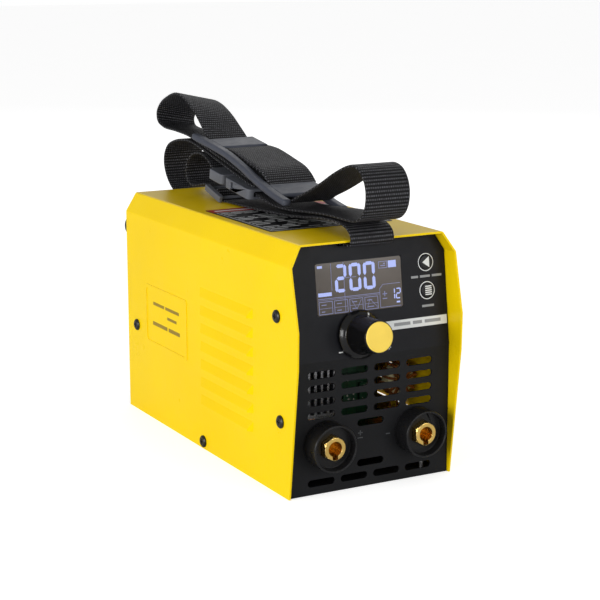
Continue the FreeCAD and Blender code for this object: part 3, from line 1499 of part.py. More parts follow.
def mains_cord():
    """The mains cord: through the gland, down into a hanging coil of two and a half turns, to its plug."""
    x, z = D.gland_across.value, D.gland_height.value
    path = [
        (x, CORD_STRAIGHT, z),
        (x, 147, z),
        (x + 3, 153, z - 8),
        (x + 7, 152, z - 22),
        (x + 12, 152, z - 36),
        (x + 16, 152, z - 50),
    ]
    steps = int(2.5 * COIL_POINTS)
    for step in range(steps + 1):
        angle = math.pi + 2 * math.pi * step / COIL_POINTS
        across = COIL_CENTRE[0] + COIL_HALF_WIDTH * math.cos(angle)
        up = COIL_CENTRE[1] + COIL_HALF_TALL * math.sin(angle)
        path.append((across, COIL_START + COIL_PITCH * step / COIL_POINTS, up))
    plug_x, plug_y = PLUG_PLACE
    path += [
        (40, 178, 82),
        (38, 184, 96),
        (26, 187, 99),
        (12, 187, 97),
        (plug_x, 181, 96),
        (plug_x, 171, 97),
        (plug_x, plug_y, 97),
        (plug_x, plug_y, PLUG_TOP + 3),
    ]
    run = Part.BSplineCurve()
    run.buildFromPoles([Vector(*point) for point in path])
    tail = Vector(x, CORD_TAIL, z)
    inlet = Part.LineSegment(tail, Vector(x, CORD_STRAIGHT, z))
    outlet = Part.LineSegment(Vector(plug_x, plug_y, PLUG_TOP + 3), Vector(plug_x, plug_y, PLUG_TOP - 6))
    spine = Part.Wire([inlet.toShape(), run.toShape(), outlet.toShape()])
    section = Part.Wire(Part.Circle(tail, Y_AXIS, D.cord_radius.value).toShape())
    item = doc.addObject("Part::Feature", "mains_cord_run")
    item.Shape = spine.makePipeShell([section], True, True)
    keep("mains_cord", item)


def mains_plug():
    """The moulded plug: a ribbed grip that swells to a round face."""
    body = new_body("mains_plug")
    section = sketch_on(body, "XZ", "plug_section")
    bore = D.cord_radius + 0.1
    draw_outline(section, [
        (bore, 0),
        (bore + 1.6, 0),
        (bore + 2.4, -12),
        (10, -16),
        (12.5, -22),
        (13, -30),
        (18, -34),
        (18, -42),
        (0, -42),
        (0, -8),
        (bore, -8),
    ])
    revolved(body, section)
    sockets = sketch_on(body, "XY", "plug_pin_holes", offset=-42.1)
    for x in (-9.5, 9.5):
        draw_circle(sockets, x, 0, 2.4)
    pocket(body, sockets, 8, reverse=True)
    grips = [
        block(f"plug_flat_{side + 1}", 60, 8, 14, 0, 13.5 * side, -31)
        for side in (-1, 1)
    ]
    shaped = cut("plug_shaped", body, grips)
    keep("mains_plug", place(shaped, PLUG_PLACE[0], PLUG_PLACE[1], PLUG_TOP))


def plug_pins():
    """The plug's two round pins."""
    pins = []
    for x in (-9.5, 9.5):
        name = f"plug_pin_{x > 0}"
        shank = rod(f"{name}_shank", 2.4, 24, PLUG_PLACE[0] + x, PLUG_PLACE[1], PLUG_TOP - 59)
        nose = cone(f"{name}_nose", 1.2, 2.4, 2, PLUG_PLACE[0] + x, PLUG_PLACE[1], PLUG_TOP - 61)
        pins.append(joined(name, [shank, nose]))
    keep("plug_pins", group("plug_pin_set", pins))


# ---------------------------------------------------------------- carrying strap

# Paths are (towards the rear, up) along the middle of the webbing, seen from the side.
LONG_WEB = [
    # round the rear anchor bar and out under the top sheet's rear edge
    (113, 144), (108, 144), (105.88, 144.88), (105, 147), (105.88, 149.12), (108, 150), (113, 150.1),
    (119, 150.2),
    # rear lower loop
    (126, 151.4), (133.5, 155.2), (140.2, 161.8), (143.3, 169), (142.4, 176.2), (136.3, 183.2), (125, 188),
    (112, 190.2), (100.8, 190.2),
    # forward under the pad, and back from a fold
    (77, 185.6), (58, 181.6), (39, 177.6), (25, 174.4), (14, 172), (6, 170.4), (2.4, 170.6), (0.9, 172.2),
    (2.4, 173.8), (6, 174.2), (14, 175.3), (25, 177.8), (39, 180.9), (62, 185.8), (82, 190), (100.5, 193.7),
    # rear upper loop
    (123, 194.9), (142, 195.3), (151.2, 197.6), (153.9, 202.6), (148.6, 209.6), (136, 217), (122.5, 221.2),
    (110, 219.6), (100, 215.3), (89.5, 209), (80, 202),
    # down through the pad
    (72.5, 196), (66, 191.6), (58, 189.4), (50, 188.8), (42, 188.6), (34, 188.4), (27, 187.7), (6, 183.6),
    (-8, 180.4), (-16, 176.4), (-24, 170.8), (-32, 167.8), (-40, 165.9),
    # front loop
    (-47, 166.8), (-56, 170.6), (-69, 175.6), (-85, 182.6), (-101.6, 190.8), (-115.7, 196.4), (-123.6, 198),
    (-131.2, 196.2), (-136.8, 191), (-139.4, 183.6), (-138, 174.6), (-133, 168.6), (-126, 165.9),
    # back over the lower layer to the buckle's socket
    (-116, 165.3), (-106, 165.3), (-90, 165), (-64, 163), (-41, 161.4), (-24, 161.6), (-12, 163.2),
    (-5, 164.5), (3, 165.6),
]
SHORT_WEB = [
    # round the front anchor bar, out under the visor and over the front edge
    (-108, 144), (-103, 144), (-100.88, 144.88), (-100, 147), (-100.88, 149.12), (-103, 150), (-108, 150),
    (-113, 150.1), (-118, 150.3),
    (-121, 151.6), (-121.9, 153.9), (-120.4, 157.4),
    # back along the top
    (-116, 160.4), (-106, 162.4), (-85, 161.9), (-63, 159.4), (-41, 157.6), (-10, 156.2), (17, 155.4),
    (35, 155),
    # through the slider
    (43, 154.9), (48.3, 154.9), (51.9, 157.9), (55.5, 161.1), (60.1, 160.1), (64.8, 159.1), (69.8, 161.4),
    # rear inner loop, to the buckle's plug
    (76, 162.5), (86, 160.6), (94, 159.3), (101, 160.6), (105.2, 165), (105, 170.8), (101, 177.2),
    (93.5, 181.6), (84, 183), (74, 181.4), (67, 177.6), (62, 174.2), (55, 172.1),
]
PAD_RAIL = [(83, 195.3), (56, 191.8), (31, 187.8), (6, 181.2), (-6, 177.2), (-34, 169.8), (-52, 166.6)]
RAIL_THICK = 4.4
RAIL_WIDTH = 5.7
RAIL_GAP = 0.7
ANCHOR_BARS = ((-103, 147), (108, 147))
BUCKLE_TILT = 7.03
BUCKLE_CENTRE = (29, 168.9)
BUCKLE_WIDTH = 40
BUCKLE_THICK = 7
BUCKLE_HALF = 30
SLIDER_CENTRE = (56, 159)
SLIDER_TILT = 15


def strap_webbing():
    """The two lengths of webbing, folded in a heap on the top of the case."""
    width = D.web_width.value
    thick = D.web_thick.value
    across = D.web_across.value
    long_band = ribbon("long_band", LONG_WEB, width, thick, across)
    short_band = ribbon("short_band", SHORT_WEB, width, thick, across)
    keep("strap_webbing", group("webbing_set", [long_band, short_band]))


def strap_pad():
    """The moulded shoulder pad: two curved rails with a cross bar near each end."""
    across = D.web_across.value
    reach = D.web_width.value / 2 + RAIL_GAP + RAIL_WIDTH / 2
    rails = [
        ribbon(f"pad_rail_{side + 1}", PAD_RAIL, RAIL_WIDTH, RAIL_THICK, across + reach * side)
        for side in (-1, 1)
    ]
    raised = [(y, z + 1) for y, z in PAD_RAIL]
    sheet_of_bars = ribbon("pad_bar_sheet", raised, 2 * reach + 1, RAIL_THICK - 2, across)
    windows = joined("pad_bar_reach", [
        box("pad_bar_rear", 60, 18, 60, -35, 45, 150),
        box("pad_bar_front", 60, 17, 60, -35, -40.5, 150),
    ])
    bars = overlap("pad_bars", sheet_of_bars, windows)
    keep("strap_pad", joined("pad_whole", rails + [bars]))


def in_buckle(item):
    """Lays a solid, drawn flat with its length along Y, into the buckle's place."""
    return place(item, D.web_across, BUCKLE_CENTRE[0], BUCKLE_CENTRE[1], X_AXIS, BUCKLE_TILT)


def buckle_socket():
    """The buckle's front half: a flat box with a mouth for the webbing and windows for the prongs."""
    low = -BUCKLE_THICK / 2
    shell = rounded_block("socket_half", BUCKLE_WIDTH, BUCKLE_HALF + 6, BUCKLE_THICK, 4, 0, -12, low)
    room = block("socket_room", BUCKLE_WIDTH - 8, 24, BUCKLE_THICK - 2.6, 0, -4, low + 1.3)
    edge = BUCKLE_WIDTH / 2 - 2
    windows = [
        block(f"socket_window_{side + 1}", 6, 9, BUCKLE_THICK - 2.6, edge * side, -8, low + 1.3)
        for side in (-1, 1)
    ]
    mouth = block("socket_mouth", 32, 16, 3, 0, -27, -1.5)
    keep("buckle_socket", in_buckle(cut("socket_hollowed", shell, [room, mouth] + windows)))


def buckle_plug():
    """The buckle's rear half: a bar that holds the webbing and two side prongs."""
    low = -BUCKLE_THICK / 2
    grip = rounded_block("plug_half", BUCKLE_WIDTH, 20, BUCKLE_THICK, 3, 0, BUCKLE_HALF - 10, low)
    mouth = block("plug_mouth", 32, 14, 3, 0, BUCKLE_HALF - 3, -1.5)
    prongs = []
    for side in (-1, 1):
        name = f"plug_prong_{side + 1}"
        prongs.append(block(name, 3, 24, BUCKLE_THICK - 3.4, 13 * side, 1, low + 1.7))
        prongs.append(block(f"{name}_hook", 5.6, 7.6, BUCKLE_THICK - 3.4, 16 * side, -8, low + 1.7))
    guide = block("plug_guide", 6, 16, BUCKLE_THICK - 3.4, 0, 4, low + 1.7)
    blank = joined("plug_half_blank", [grip, guide] + prongs)
    keep("buckle_plug", in_buckle(cut("plug_half_cut", blank, [mouth])))


def strap_slider():
    """The three-bar slider that the short webbing weaves through."""
    reach = D.web_width.value / 2 + 2.2
    rails = [
        rounded_block(f"slider_rail_{side + 1}", 3.4, 23, 4.4, 1.2, reach * side, 0, -2.2)
        for side in (-1, 1)
    ]
    bars = [rod(f"slider_bar_{step + 1}", 1.1, 2 * reach, -reach, 8.5 * step, 0, "x") for step in (-1, 0, 1)]
    slider = joined("slider_whole", rails + bars)
    y, z = SLIDER_CENTRE
    keep("strap_slider", place(slider, D.web_across, y, z, X_AXIS, SLIDER_TILT))


def strap_anchor_bars():
    """Steel bars that hold the ends of the webbing inside the front and rear slots."""
    bars = [
        rod(f"anchor_bar_{number}", 2, 44, D.web_across - 22, y, z, "x")
        for number, (y, z) in enumerate(ANCHOR_BARS)
    ]
    keep("strap_anchor_bars", group("anchor_bar_set", bars))


# ---------------------------------------------------------------- build and write

def build():
    """Makes every sub-part."""
    cover_shell()
    base_tray()
    base_screws()
    side_screws()
    front_panel()
    rear_panel()
    front_overlay()
    top_label()
    display_window()
    lcd_module()
    control_board()
    board_spacers()
    board_screws()
    for name, up in (("mode", D.mode_up), ("menu", D.menu_up)):
        push_button(name, up)
        tact_switch(name, up)
    encoder_body()
    encoder_nut()
    encoder_shaft()
    knob_body()
    knob_cap()
    for name, side in (("positive", -1), ("negative", 1)):
        socket_housing(name, side)
        socket_insert(name, side)
    socket_nuts()
    socket_bolts()
    busbars()
    power_board()
    heat_sink("transistor_heat_sink", -12, -31, 34, 72, 8, 52)
    heat_sink("diode_heat_sink", 32, 20, 34, 36, 8, 38)
    flat_packages("power_transistors", -14, (-57, -39, -21, -3))
    flat_packages("output_diodes", 30, (11, 29))
    transformer_core()
    transformer_winding()
    choke_core()
    choke_winding()
    bulk_capacitors()
    rectifier_bridge()
    driver_board()
    ribbon_cable()
    fan_frame()
    fan_rotor()
    fan_guard()
    fan_screws()
    power_switch_body()
    power_switch_rocker()
    cable_gland_body()
    cable_gland_nut()
    cable_gland_locknut()
    mains_cord()
    mains_plug()
    plug_pins()
    strap_webbing()
    strap_pad()
    buckle_socket()
    buckle_plug()
    strap_slider()
    strap_anchor_bars()


def check():
    """Stops the build if any object failed or any sub-part isn't a valid solid shape."""
    doc.recompute()
    faults = [item.Name for item in doc.Objects if {"Invalid", "Error"} & set(item.State)]
    for name, item in nodes.items():
        if item.Shape.isNull() or not item.Shape.isValid() or not item.Shape.Solids:
            faults.append(name)
    if faults:
        raise RuntimeError("failed: " + ", ".join(faults))


def write():
    """One STEP file for each sub-part."""
    os.makedirs("parts", exist_ok=True)
    for name, item in nodes.items():
        item.Shape.exportStep(f"parts/{name}.step")


build()
check()
write()
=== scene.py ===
import json
import math

import bmesh
import bpy
from mathutils import Matrix, Vector

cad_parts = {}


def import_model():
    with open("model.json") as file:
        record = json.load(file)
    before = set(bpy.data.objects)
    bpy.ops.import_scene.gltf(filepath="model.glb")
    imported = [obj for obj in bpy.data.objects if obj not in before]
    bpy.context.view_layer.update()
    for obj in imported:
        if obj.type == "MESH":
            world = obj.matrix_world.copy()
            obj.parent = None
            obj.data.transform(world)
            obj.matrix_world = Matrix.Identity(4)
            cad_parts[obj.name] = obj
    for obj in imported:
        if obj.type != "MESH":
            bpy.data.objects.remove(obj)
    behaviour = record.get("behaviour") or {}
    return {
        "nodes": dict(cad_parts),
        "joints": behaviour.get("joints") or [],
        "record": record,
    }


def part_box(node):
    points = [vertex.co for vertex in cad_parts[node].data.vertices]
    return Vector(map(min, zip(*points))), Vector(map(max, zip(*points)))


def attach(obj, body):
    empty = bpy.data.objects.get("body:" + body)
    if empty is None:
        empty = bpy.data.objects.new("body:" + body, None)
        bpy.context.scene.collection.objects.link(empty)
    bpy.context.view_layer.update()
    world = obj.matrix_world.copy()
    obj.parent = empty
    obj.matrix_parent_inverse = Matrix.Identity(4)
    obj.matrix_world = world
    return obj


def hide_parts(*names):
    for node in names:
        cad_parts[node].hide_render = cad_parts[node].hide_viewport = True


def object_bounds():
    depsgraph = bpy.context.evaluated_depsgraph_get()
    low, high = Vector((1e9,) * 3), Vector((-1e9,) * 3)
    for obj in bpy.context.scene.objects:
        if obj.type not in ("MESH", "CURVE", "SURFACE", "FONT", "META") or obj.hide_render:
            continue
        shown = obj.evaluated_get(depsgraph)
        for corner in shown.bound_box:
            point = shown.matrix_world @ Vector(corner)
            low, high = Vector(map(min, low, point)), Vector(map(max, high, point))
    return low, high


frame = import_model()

# Looks of a small stick welder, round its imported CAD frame. Lengths are in metres unless a name says mm.

CAD_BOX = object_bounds()
MM = 0.001
NODES = frame["nodes"]
JOINTS = {joint["name"]: joint for joint in frame["joints"]}
BODY_OF = {
    node: body
    for body, members in frame["record"]["behaviour"]["bodies"].items()
    for node in members
}


# ---------------------------------------------------------------- node helpers for materials

class Shader:
    """A material's node tree with short ways to add nodes."""

    def __init__(self, name):
        self.material = bpy.data.materials.new(name)
        self.material.use_nodes = True
        self.tree = self.material.node_tree
        self.surface = self.tree.nodes["Principled BSDF"]
        self.place = self.add("ShaderNodeTexCoord").outputs["Object"]

    def add(self, kind, **settings):
        """A node with its properties set."""
        node = self.tree.nodes.new(kind)
        for name, value in settings.items():
            setattr(node, name, value)
        return node

    def link(self, source, target):
        """Wires an output into an input."""
        self.tree.links.new(source, target)

    def feed(self, node, values):
        """Sets inputs by name: a plain value is set, an output is wired in."""
        for name, value in values.items():
            socket = node.inputs[name]
            if isinstance(value, bpy.types.NodeSocket):
                self.link(value, socket)
            else:
                socket.default_value = value
        return node

    def scaled(self, scale, vector=None):
        """A coordinate stretched along each axis."""
        node = self.add("ShaderNodeMapping")
        node.inputs["Scale"].default_value = scale
        self.link(vector or self.place, node.inputs["Vector"])
        return node.outputs["Vector"]

    def noise(self, scale, detail=4, roughness=0.55, vector=None, distortion=0):
        """Cloudy noise from 0 to 1."""
        node = self.add("ShaderNodeTexNoise")
        return self.feed(node, {
            "Vector": vector or self.place,
            "Scale": scale,
            "Detail": detail,
            "Roughness": roughness,
            "Distortion": distortion,
        }).outputs["Fac"]

    def math(self, operation, first, second=0.5):
        """One arithmetic step."""
        node = self.add("ShaderNodeMath", operation=operation)
        for number, value in enumerate((first, second)):
            if isinstance(value, bpy.types.NodeSocket):
                self.link(value, node.inputs[number])
            else:
                node.inputs[number].default_value = value
        return node.outputs["Value"]

    def ramp(self, value, low, high, from_low=0.3, from_high=0.7):
        """A value mapped from one range to another, held at the ends."""
        node = self.add("ShaderNodeMapRange")
        return self.feed(node, {
            "Value": value,
            "From Min": from_low,
            "From Max": from_high,
            "To Min": low,
            "To Max": high,
        }).outputs["Result"]

    def mix(self, factor, first, second):
        """A colour between two others."""
        node = self.add("ShaderNodeMix", data_type="RGBA")
        for name, value in (("Factor", factor), ("A", first), ("B", second)):
            socket = [item for item in node.inputs if item.name == name and item.enabled][0]
            if isinstance(value, bpy.types.NodeSocket):
                self.link(value, socket)
            elif name == "Factor":
                socket.default_value = value
            else:
                socket.default_value = (*value, 1)
        return [item for item in node.outputs if item.enabled][0]

    def edges(self, radius, low=0.02, high=0.25):
        """How near a point is to a sharp edge, from 0 to 1."""
        rounded = self.add("ShaderNodeBevel", samples=4)
        rounded.inputs["Radius"].default_value = radius
        flat = self.add("ShaderNodeNewGeometry")
        dot = self.add("ShaderNodeVectorMath", operation="DOT_PRODUCT")
        self.link(rounded.outputs["Normal"], dot.inputs[0])
        self.link(flat.outputs["Normal"], dot.inputs[1])
        turned = self.math("SUBTRACT", 1.0, dot.outputs["Value"])
        return self.ramp(turned, 0, 1, low, high)

    def bump(self, height, distance, strength=1.0, normal=None):
        """A normal from a height."""
        node = self.add("ShaderNodeBump")
        values = {"Height": height, "Distance": distance, "Strength": strength}
        if normal:
            values["Normal"] = normal
        return self.feed(node, values).outputs["Normal"]


def tone(colour, factor):
    """A lighter or darker tone of a colour."""
    return tuple(min(1, part * factor) for part in colour)


def surface(name, colour, rough, metal=0.0, grain=0.00002, grain_scale=1400, blotch=0.08, blotch_scale=28,
            streaks=None, wear_and_highlight=None, coat=0.0, rough_spread=0.07, specular=0.5, glow=None):
    """A general finish: mottled colour, uneven roughness, fine grain, and a paler colour along the edges:
    wear on most looks, a painted highlight on the knob cap's rim.
    """
    s = Shader(name)
    cloud = s.noise(blotch_scale, 5, 0.6)
    tint = s.mix(s.ramp(cloud, 0, 1), tone(colour, 1 - blotch), tone(colour, 1 + blotch))
    grain_place = s.scaled(streaks) if streaks else s.place
    fine = s.noise(grain_scale, 3, 0.6, grain_place)
    uneven = s.noise(blotch_scale * 6, 4, 0.7, grain_place)
    roughness = s.ramp(uneven, rough - rough_spread, rough + rough_spread)
    # Paler colour along the edges: real wear, and on the knob cap a painted rim highlight.
    if wear_and_highlight:
        wear_and_highlight_colour, radius, amount = wear_and_highlight
        near = s.math("MULTIPLY", s.edges(radius), s.ramp(s.noise(420, 4, 0.7), 0.35, 1.0, 0.35, 0.62))
        mask = s.math("MULTIPLY", near, amount)
        tint = s.mix(mask, tint, wear_and_highlight_colour)
        roughness = s.math("ADD", roughness, s.math("MULTIPLY", mask, 0.12))
    s.feed(s.surface, {
        "Base Color": tint,
        "Roughness": roughness,
        "Metallic": metal,
        "Normal": s.bump(fine, grain),
        "Specular IOR Level": specular,
        "Coat Weight": coat,
        "Coat Roughness": 0.12,
    })
    if glow:
        s.feed(s.surface, {"Emission Color": tint, "Emission Strength": glow})
    return s.material


def painted_metal():
    """Gloss yellow powder paint: soft orange peel, faint dust, and a painted highlight of paler yellow along
    the edges.
    """
    s = Shader("yellow_paint")
    cloud = s.noise(9, 4, 0.5)
    tint = s.mix(s.ramp(cloud, 0, 1), (0.90, 0.615, 0.0), (0.95, 0.67, 0.002))
    dust = s.ramp(s.noise(60, 6, 0.75), 0, 0.02, 0.5, 0.75)
    tint = s.mix(dust, tint, (0.75, 0.66, 0.35))
    # Paler, brighter yellow along the edges, broken up by noise: a painted highlight.
    painted_edge_highlight = s.math("MULTIPLY", s.edges(0.0007), s.ramp(s.noise(300, 4, 0.7), 0.05, 0.4, 0.4, 0.65))
    tint = s.mix(painted_edge_highlight, tint, (1.0, 0.83, 0.12))
    peel = s.bump(s.noise(520, 2, 0.5), 0.00009)
    speck = s.bump(s.noise(3000, 2, 0.5), 0.000006, 1.0, peel)
    s.feed(s.surface, {
        "Base Color": tint,
        "Roughness": s.ramp(s.noise(35, 5, 0.65), 0.27, 0.38),
        "Normal": speck,
        "Specular IOR Level": 0.12,
        "Specular Tint": (1.0, 0.75, 0.04, 1),
        "Coat Weight": 0.08,
        "Coat Roughness": 0.16,
    })
    return s.material


def woven(name, dark, light, row_mm, stitch_mm):
    """Woven nylon webbing: staggered floats in rows across the band, on a UV map in millimetres, the raised
    floats painted paler in patches as a painted sheen.
    """
    s = Shader(name)
    uv = s.add("ShaderNodeUVMap", uv_map="band").outputs["UV"]
    parts = s.add("ShaderNodeSeparateXYZ")
    s.link(uv, parts.inputs["Vector"])
    row = s.math("DIVIDE", parts.outputs["Y"], row_mm)
    staggered = s.math("MULTIPLY", s.math("FLOOR", row), 0.5)
    stitch = s.math("ADD", s.math("DIVIDE", parts.outputs["X"], stitch_mm), staggered)
    across_row = s.ramp(s.math("PINGPONG", row), 0, 1, 0.2, 0.36)
    along_row = s.ramp(s.math("PINGPONG", stitch), 0, 1, 0.1, 0.26)
    raised = s.math("MULTIPLY", across_row, along_row)
    fibre = s.noise(3, 3, 0.7, s.scaled((5, 1.2, 1), uv))
    # The raised floats are painted paler in patches: a painted sheen where they would catch light.
    wear_and_highlight = s.ramp(s.noise(0.5, 3, 0.7, uv), 0.35, 1, 0.35, 0.7)
    painted_sheen = s.math("MULTIPLY", s.math("MULTIPLY", raised, wear_and_highlight), s.ramp(fibre, 0.5, 1, 0.3, 0.7))
    s.feed(s.surface, {
        "Base Color": s.mix(painted_sheen, dark, light),
        "Roughness": s.ramp(fibre, 0.42, 0.7),
        "Normal": s.bump(s.math("ADD", raised, s.math("MULTIPLY", fibre, 0.3)), 0.0004, 1.0),
        "Specular IOR Level": 0.22,
    })
    return s.material


def circuit_board():
    """Green solder mask over copper tracks, with tinned pads."""
    s = Shader("circuit_board")
    tracks = s.add("ShaderNodeTexBrick", offset=0.37, offset_frequency=3)
    s.feed(tracks, {
        "Vector": s.scaled((1000, 1000, 1000)),
        "Color1": (0.005, 0.045, 0.018, 1),
        "Color2": (0.008, 0.070, 0.026, 1),
        "Mortar": (0.003, 0.026, 0.011, 1),
        "Scale": 1.0,
        "Mortar Size": 0.35,
        "Brick Width": 7.0,
        "Row Height": 2.4,
    })
    pads = s.add("ShaderNodeTexVoronoi", feature="F1")
    s.feed(pads, {"Vector": s.place, "Scale": 260.0, "Randomness": 0.6})
    dots = s.ramp(pads.outputs["Distance"], 1, 0, 0.16, 0.2)
    tint = s.mix(dots, tracks.outputs["Color"], (0.65, 0.62, 0.55))
    s.feed(s.surface, {
        "Base Color": tint,
        "Roughness": s.ramp(s.noise(90, 4), 0.28, 0.45),
        "Metallic": s.math("MULTIPLY", dots, 0.8),
        "Normal": s.bump(tracks.outputs["Fac"], 0.00004),
    })
    return s.material


def wound_tape():
    """Yellow polyester tape wound round a coil in overlapping layers."""
    s = Shader("wound_tape")
    wave = s.add("ShaderNodeTexWave", wave_type="BANDS", bands_direction="Z", wave_profile="SAW")
    s.feed(wave, {"Vector": s.place, "Scale": 55.0, "Distortion": 1.0, "Detail": 2.0})
    tint = s.mix(s.ramp(wave.outputs["Fac"], 0, 1, 0, 1), (0.62, 0.40, 0.03), (0.86, 0.62, 0.08))
    s.feed(s.surface, {
        "Base Color": tint,
        "Roughness": s.ramp(s.noise(120), 0.2, 0.4),
        "Normal": s.bump(wave.outputs["Fac"], 0.0002),
        "Coat Weight": 0.4,
    })
    return s.material


CAPACITOR_TOP = 0.0610


def capacitor_sleeve():
    """Dark shrink sleeve with a pale polarity stripe and a bare aluminium top."""
    s = Shader("capacitor_sleeve")
    parts = s.add("ShaderNodeSeparateXYZ")
    s.link(s.place, parts.inputs["Vector"])
    top = s.ramp(parts.outputs["Z"], 0, 1, CAPACITOR_TOP, CAPACITOR_TOP + 0.0002)
    stripe = s.add("ShaderNodeTexWave", wave_type="BANDS", bands_direction="X")
    s.feed(stripe, {"Vector": s.place, "Scale": 12.0})
    band = s.ramp(stripe.outputs["Fac"], 0, 1, 0.93, 0.95)
    tint = s.mix(band, (0.012, 0.016, 0.05), (0.45, 0.47, 0.5))
    tint = s.mix(top, tint, (0.7, 0.7, 0.72))
    s.feed(s.surface, {
        "Base Color": tint,
        "Metallic": top,
        "Roughness": s.ramp(s.noise(90), 0.22, 0.4),
        "Normal": s.bump(s.noise(900, 3), 0.00003),
    })
    return s.material


def display_glass():
    """Smoked display with a soft sheen and a faint lighter bloom from its backlight."""
    s = Shader("display_glass")
    cloud = s.noise(22, 4, 0.5)
    tint = s.mix(s.ramp(cloud, 0, 1), (0.066, 0.055, 0.046), (0.100, 0.085, 0.074))
    s.feed(s.surface, {
        "Base Color": tint,
        "Roughness": s.ramp(s.noise(260, 3), 0.10, 0.2),
        "Normal": s.bump(s.noise(2600, 2), 0.000003),
        "Specular IOR Level": 0.3,
        "Coat Weight": 0.3,
        "Coat Roughness": 0.05,
        "Emission Color": tint,
        "Emission Strength": 0.18,
    })
    return s.material


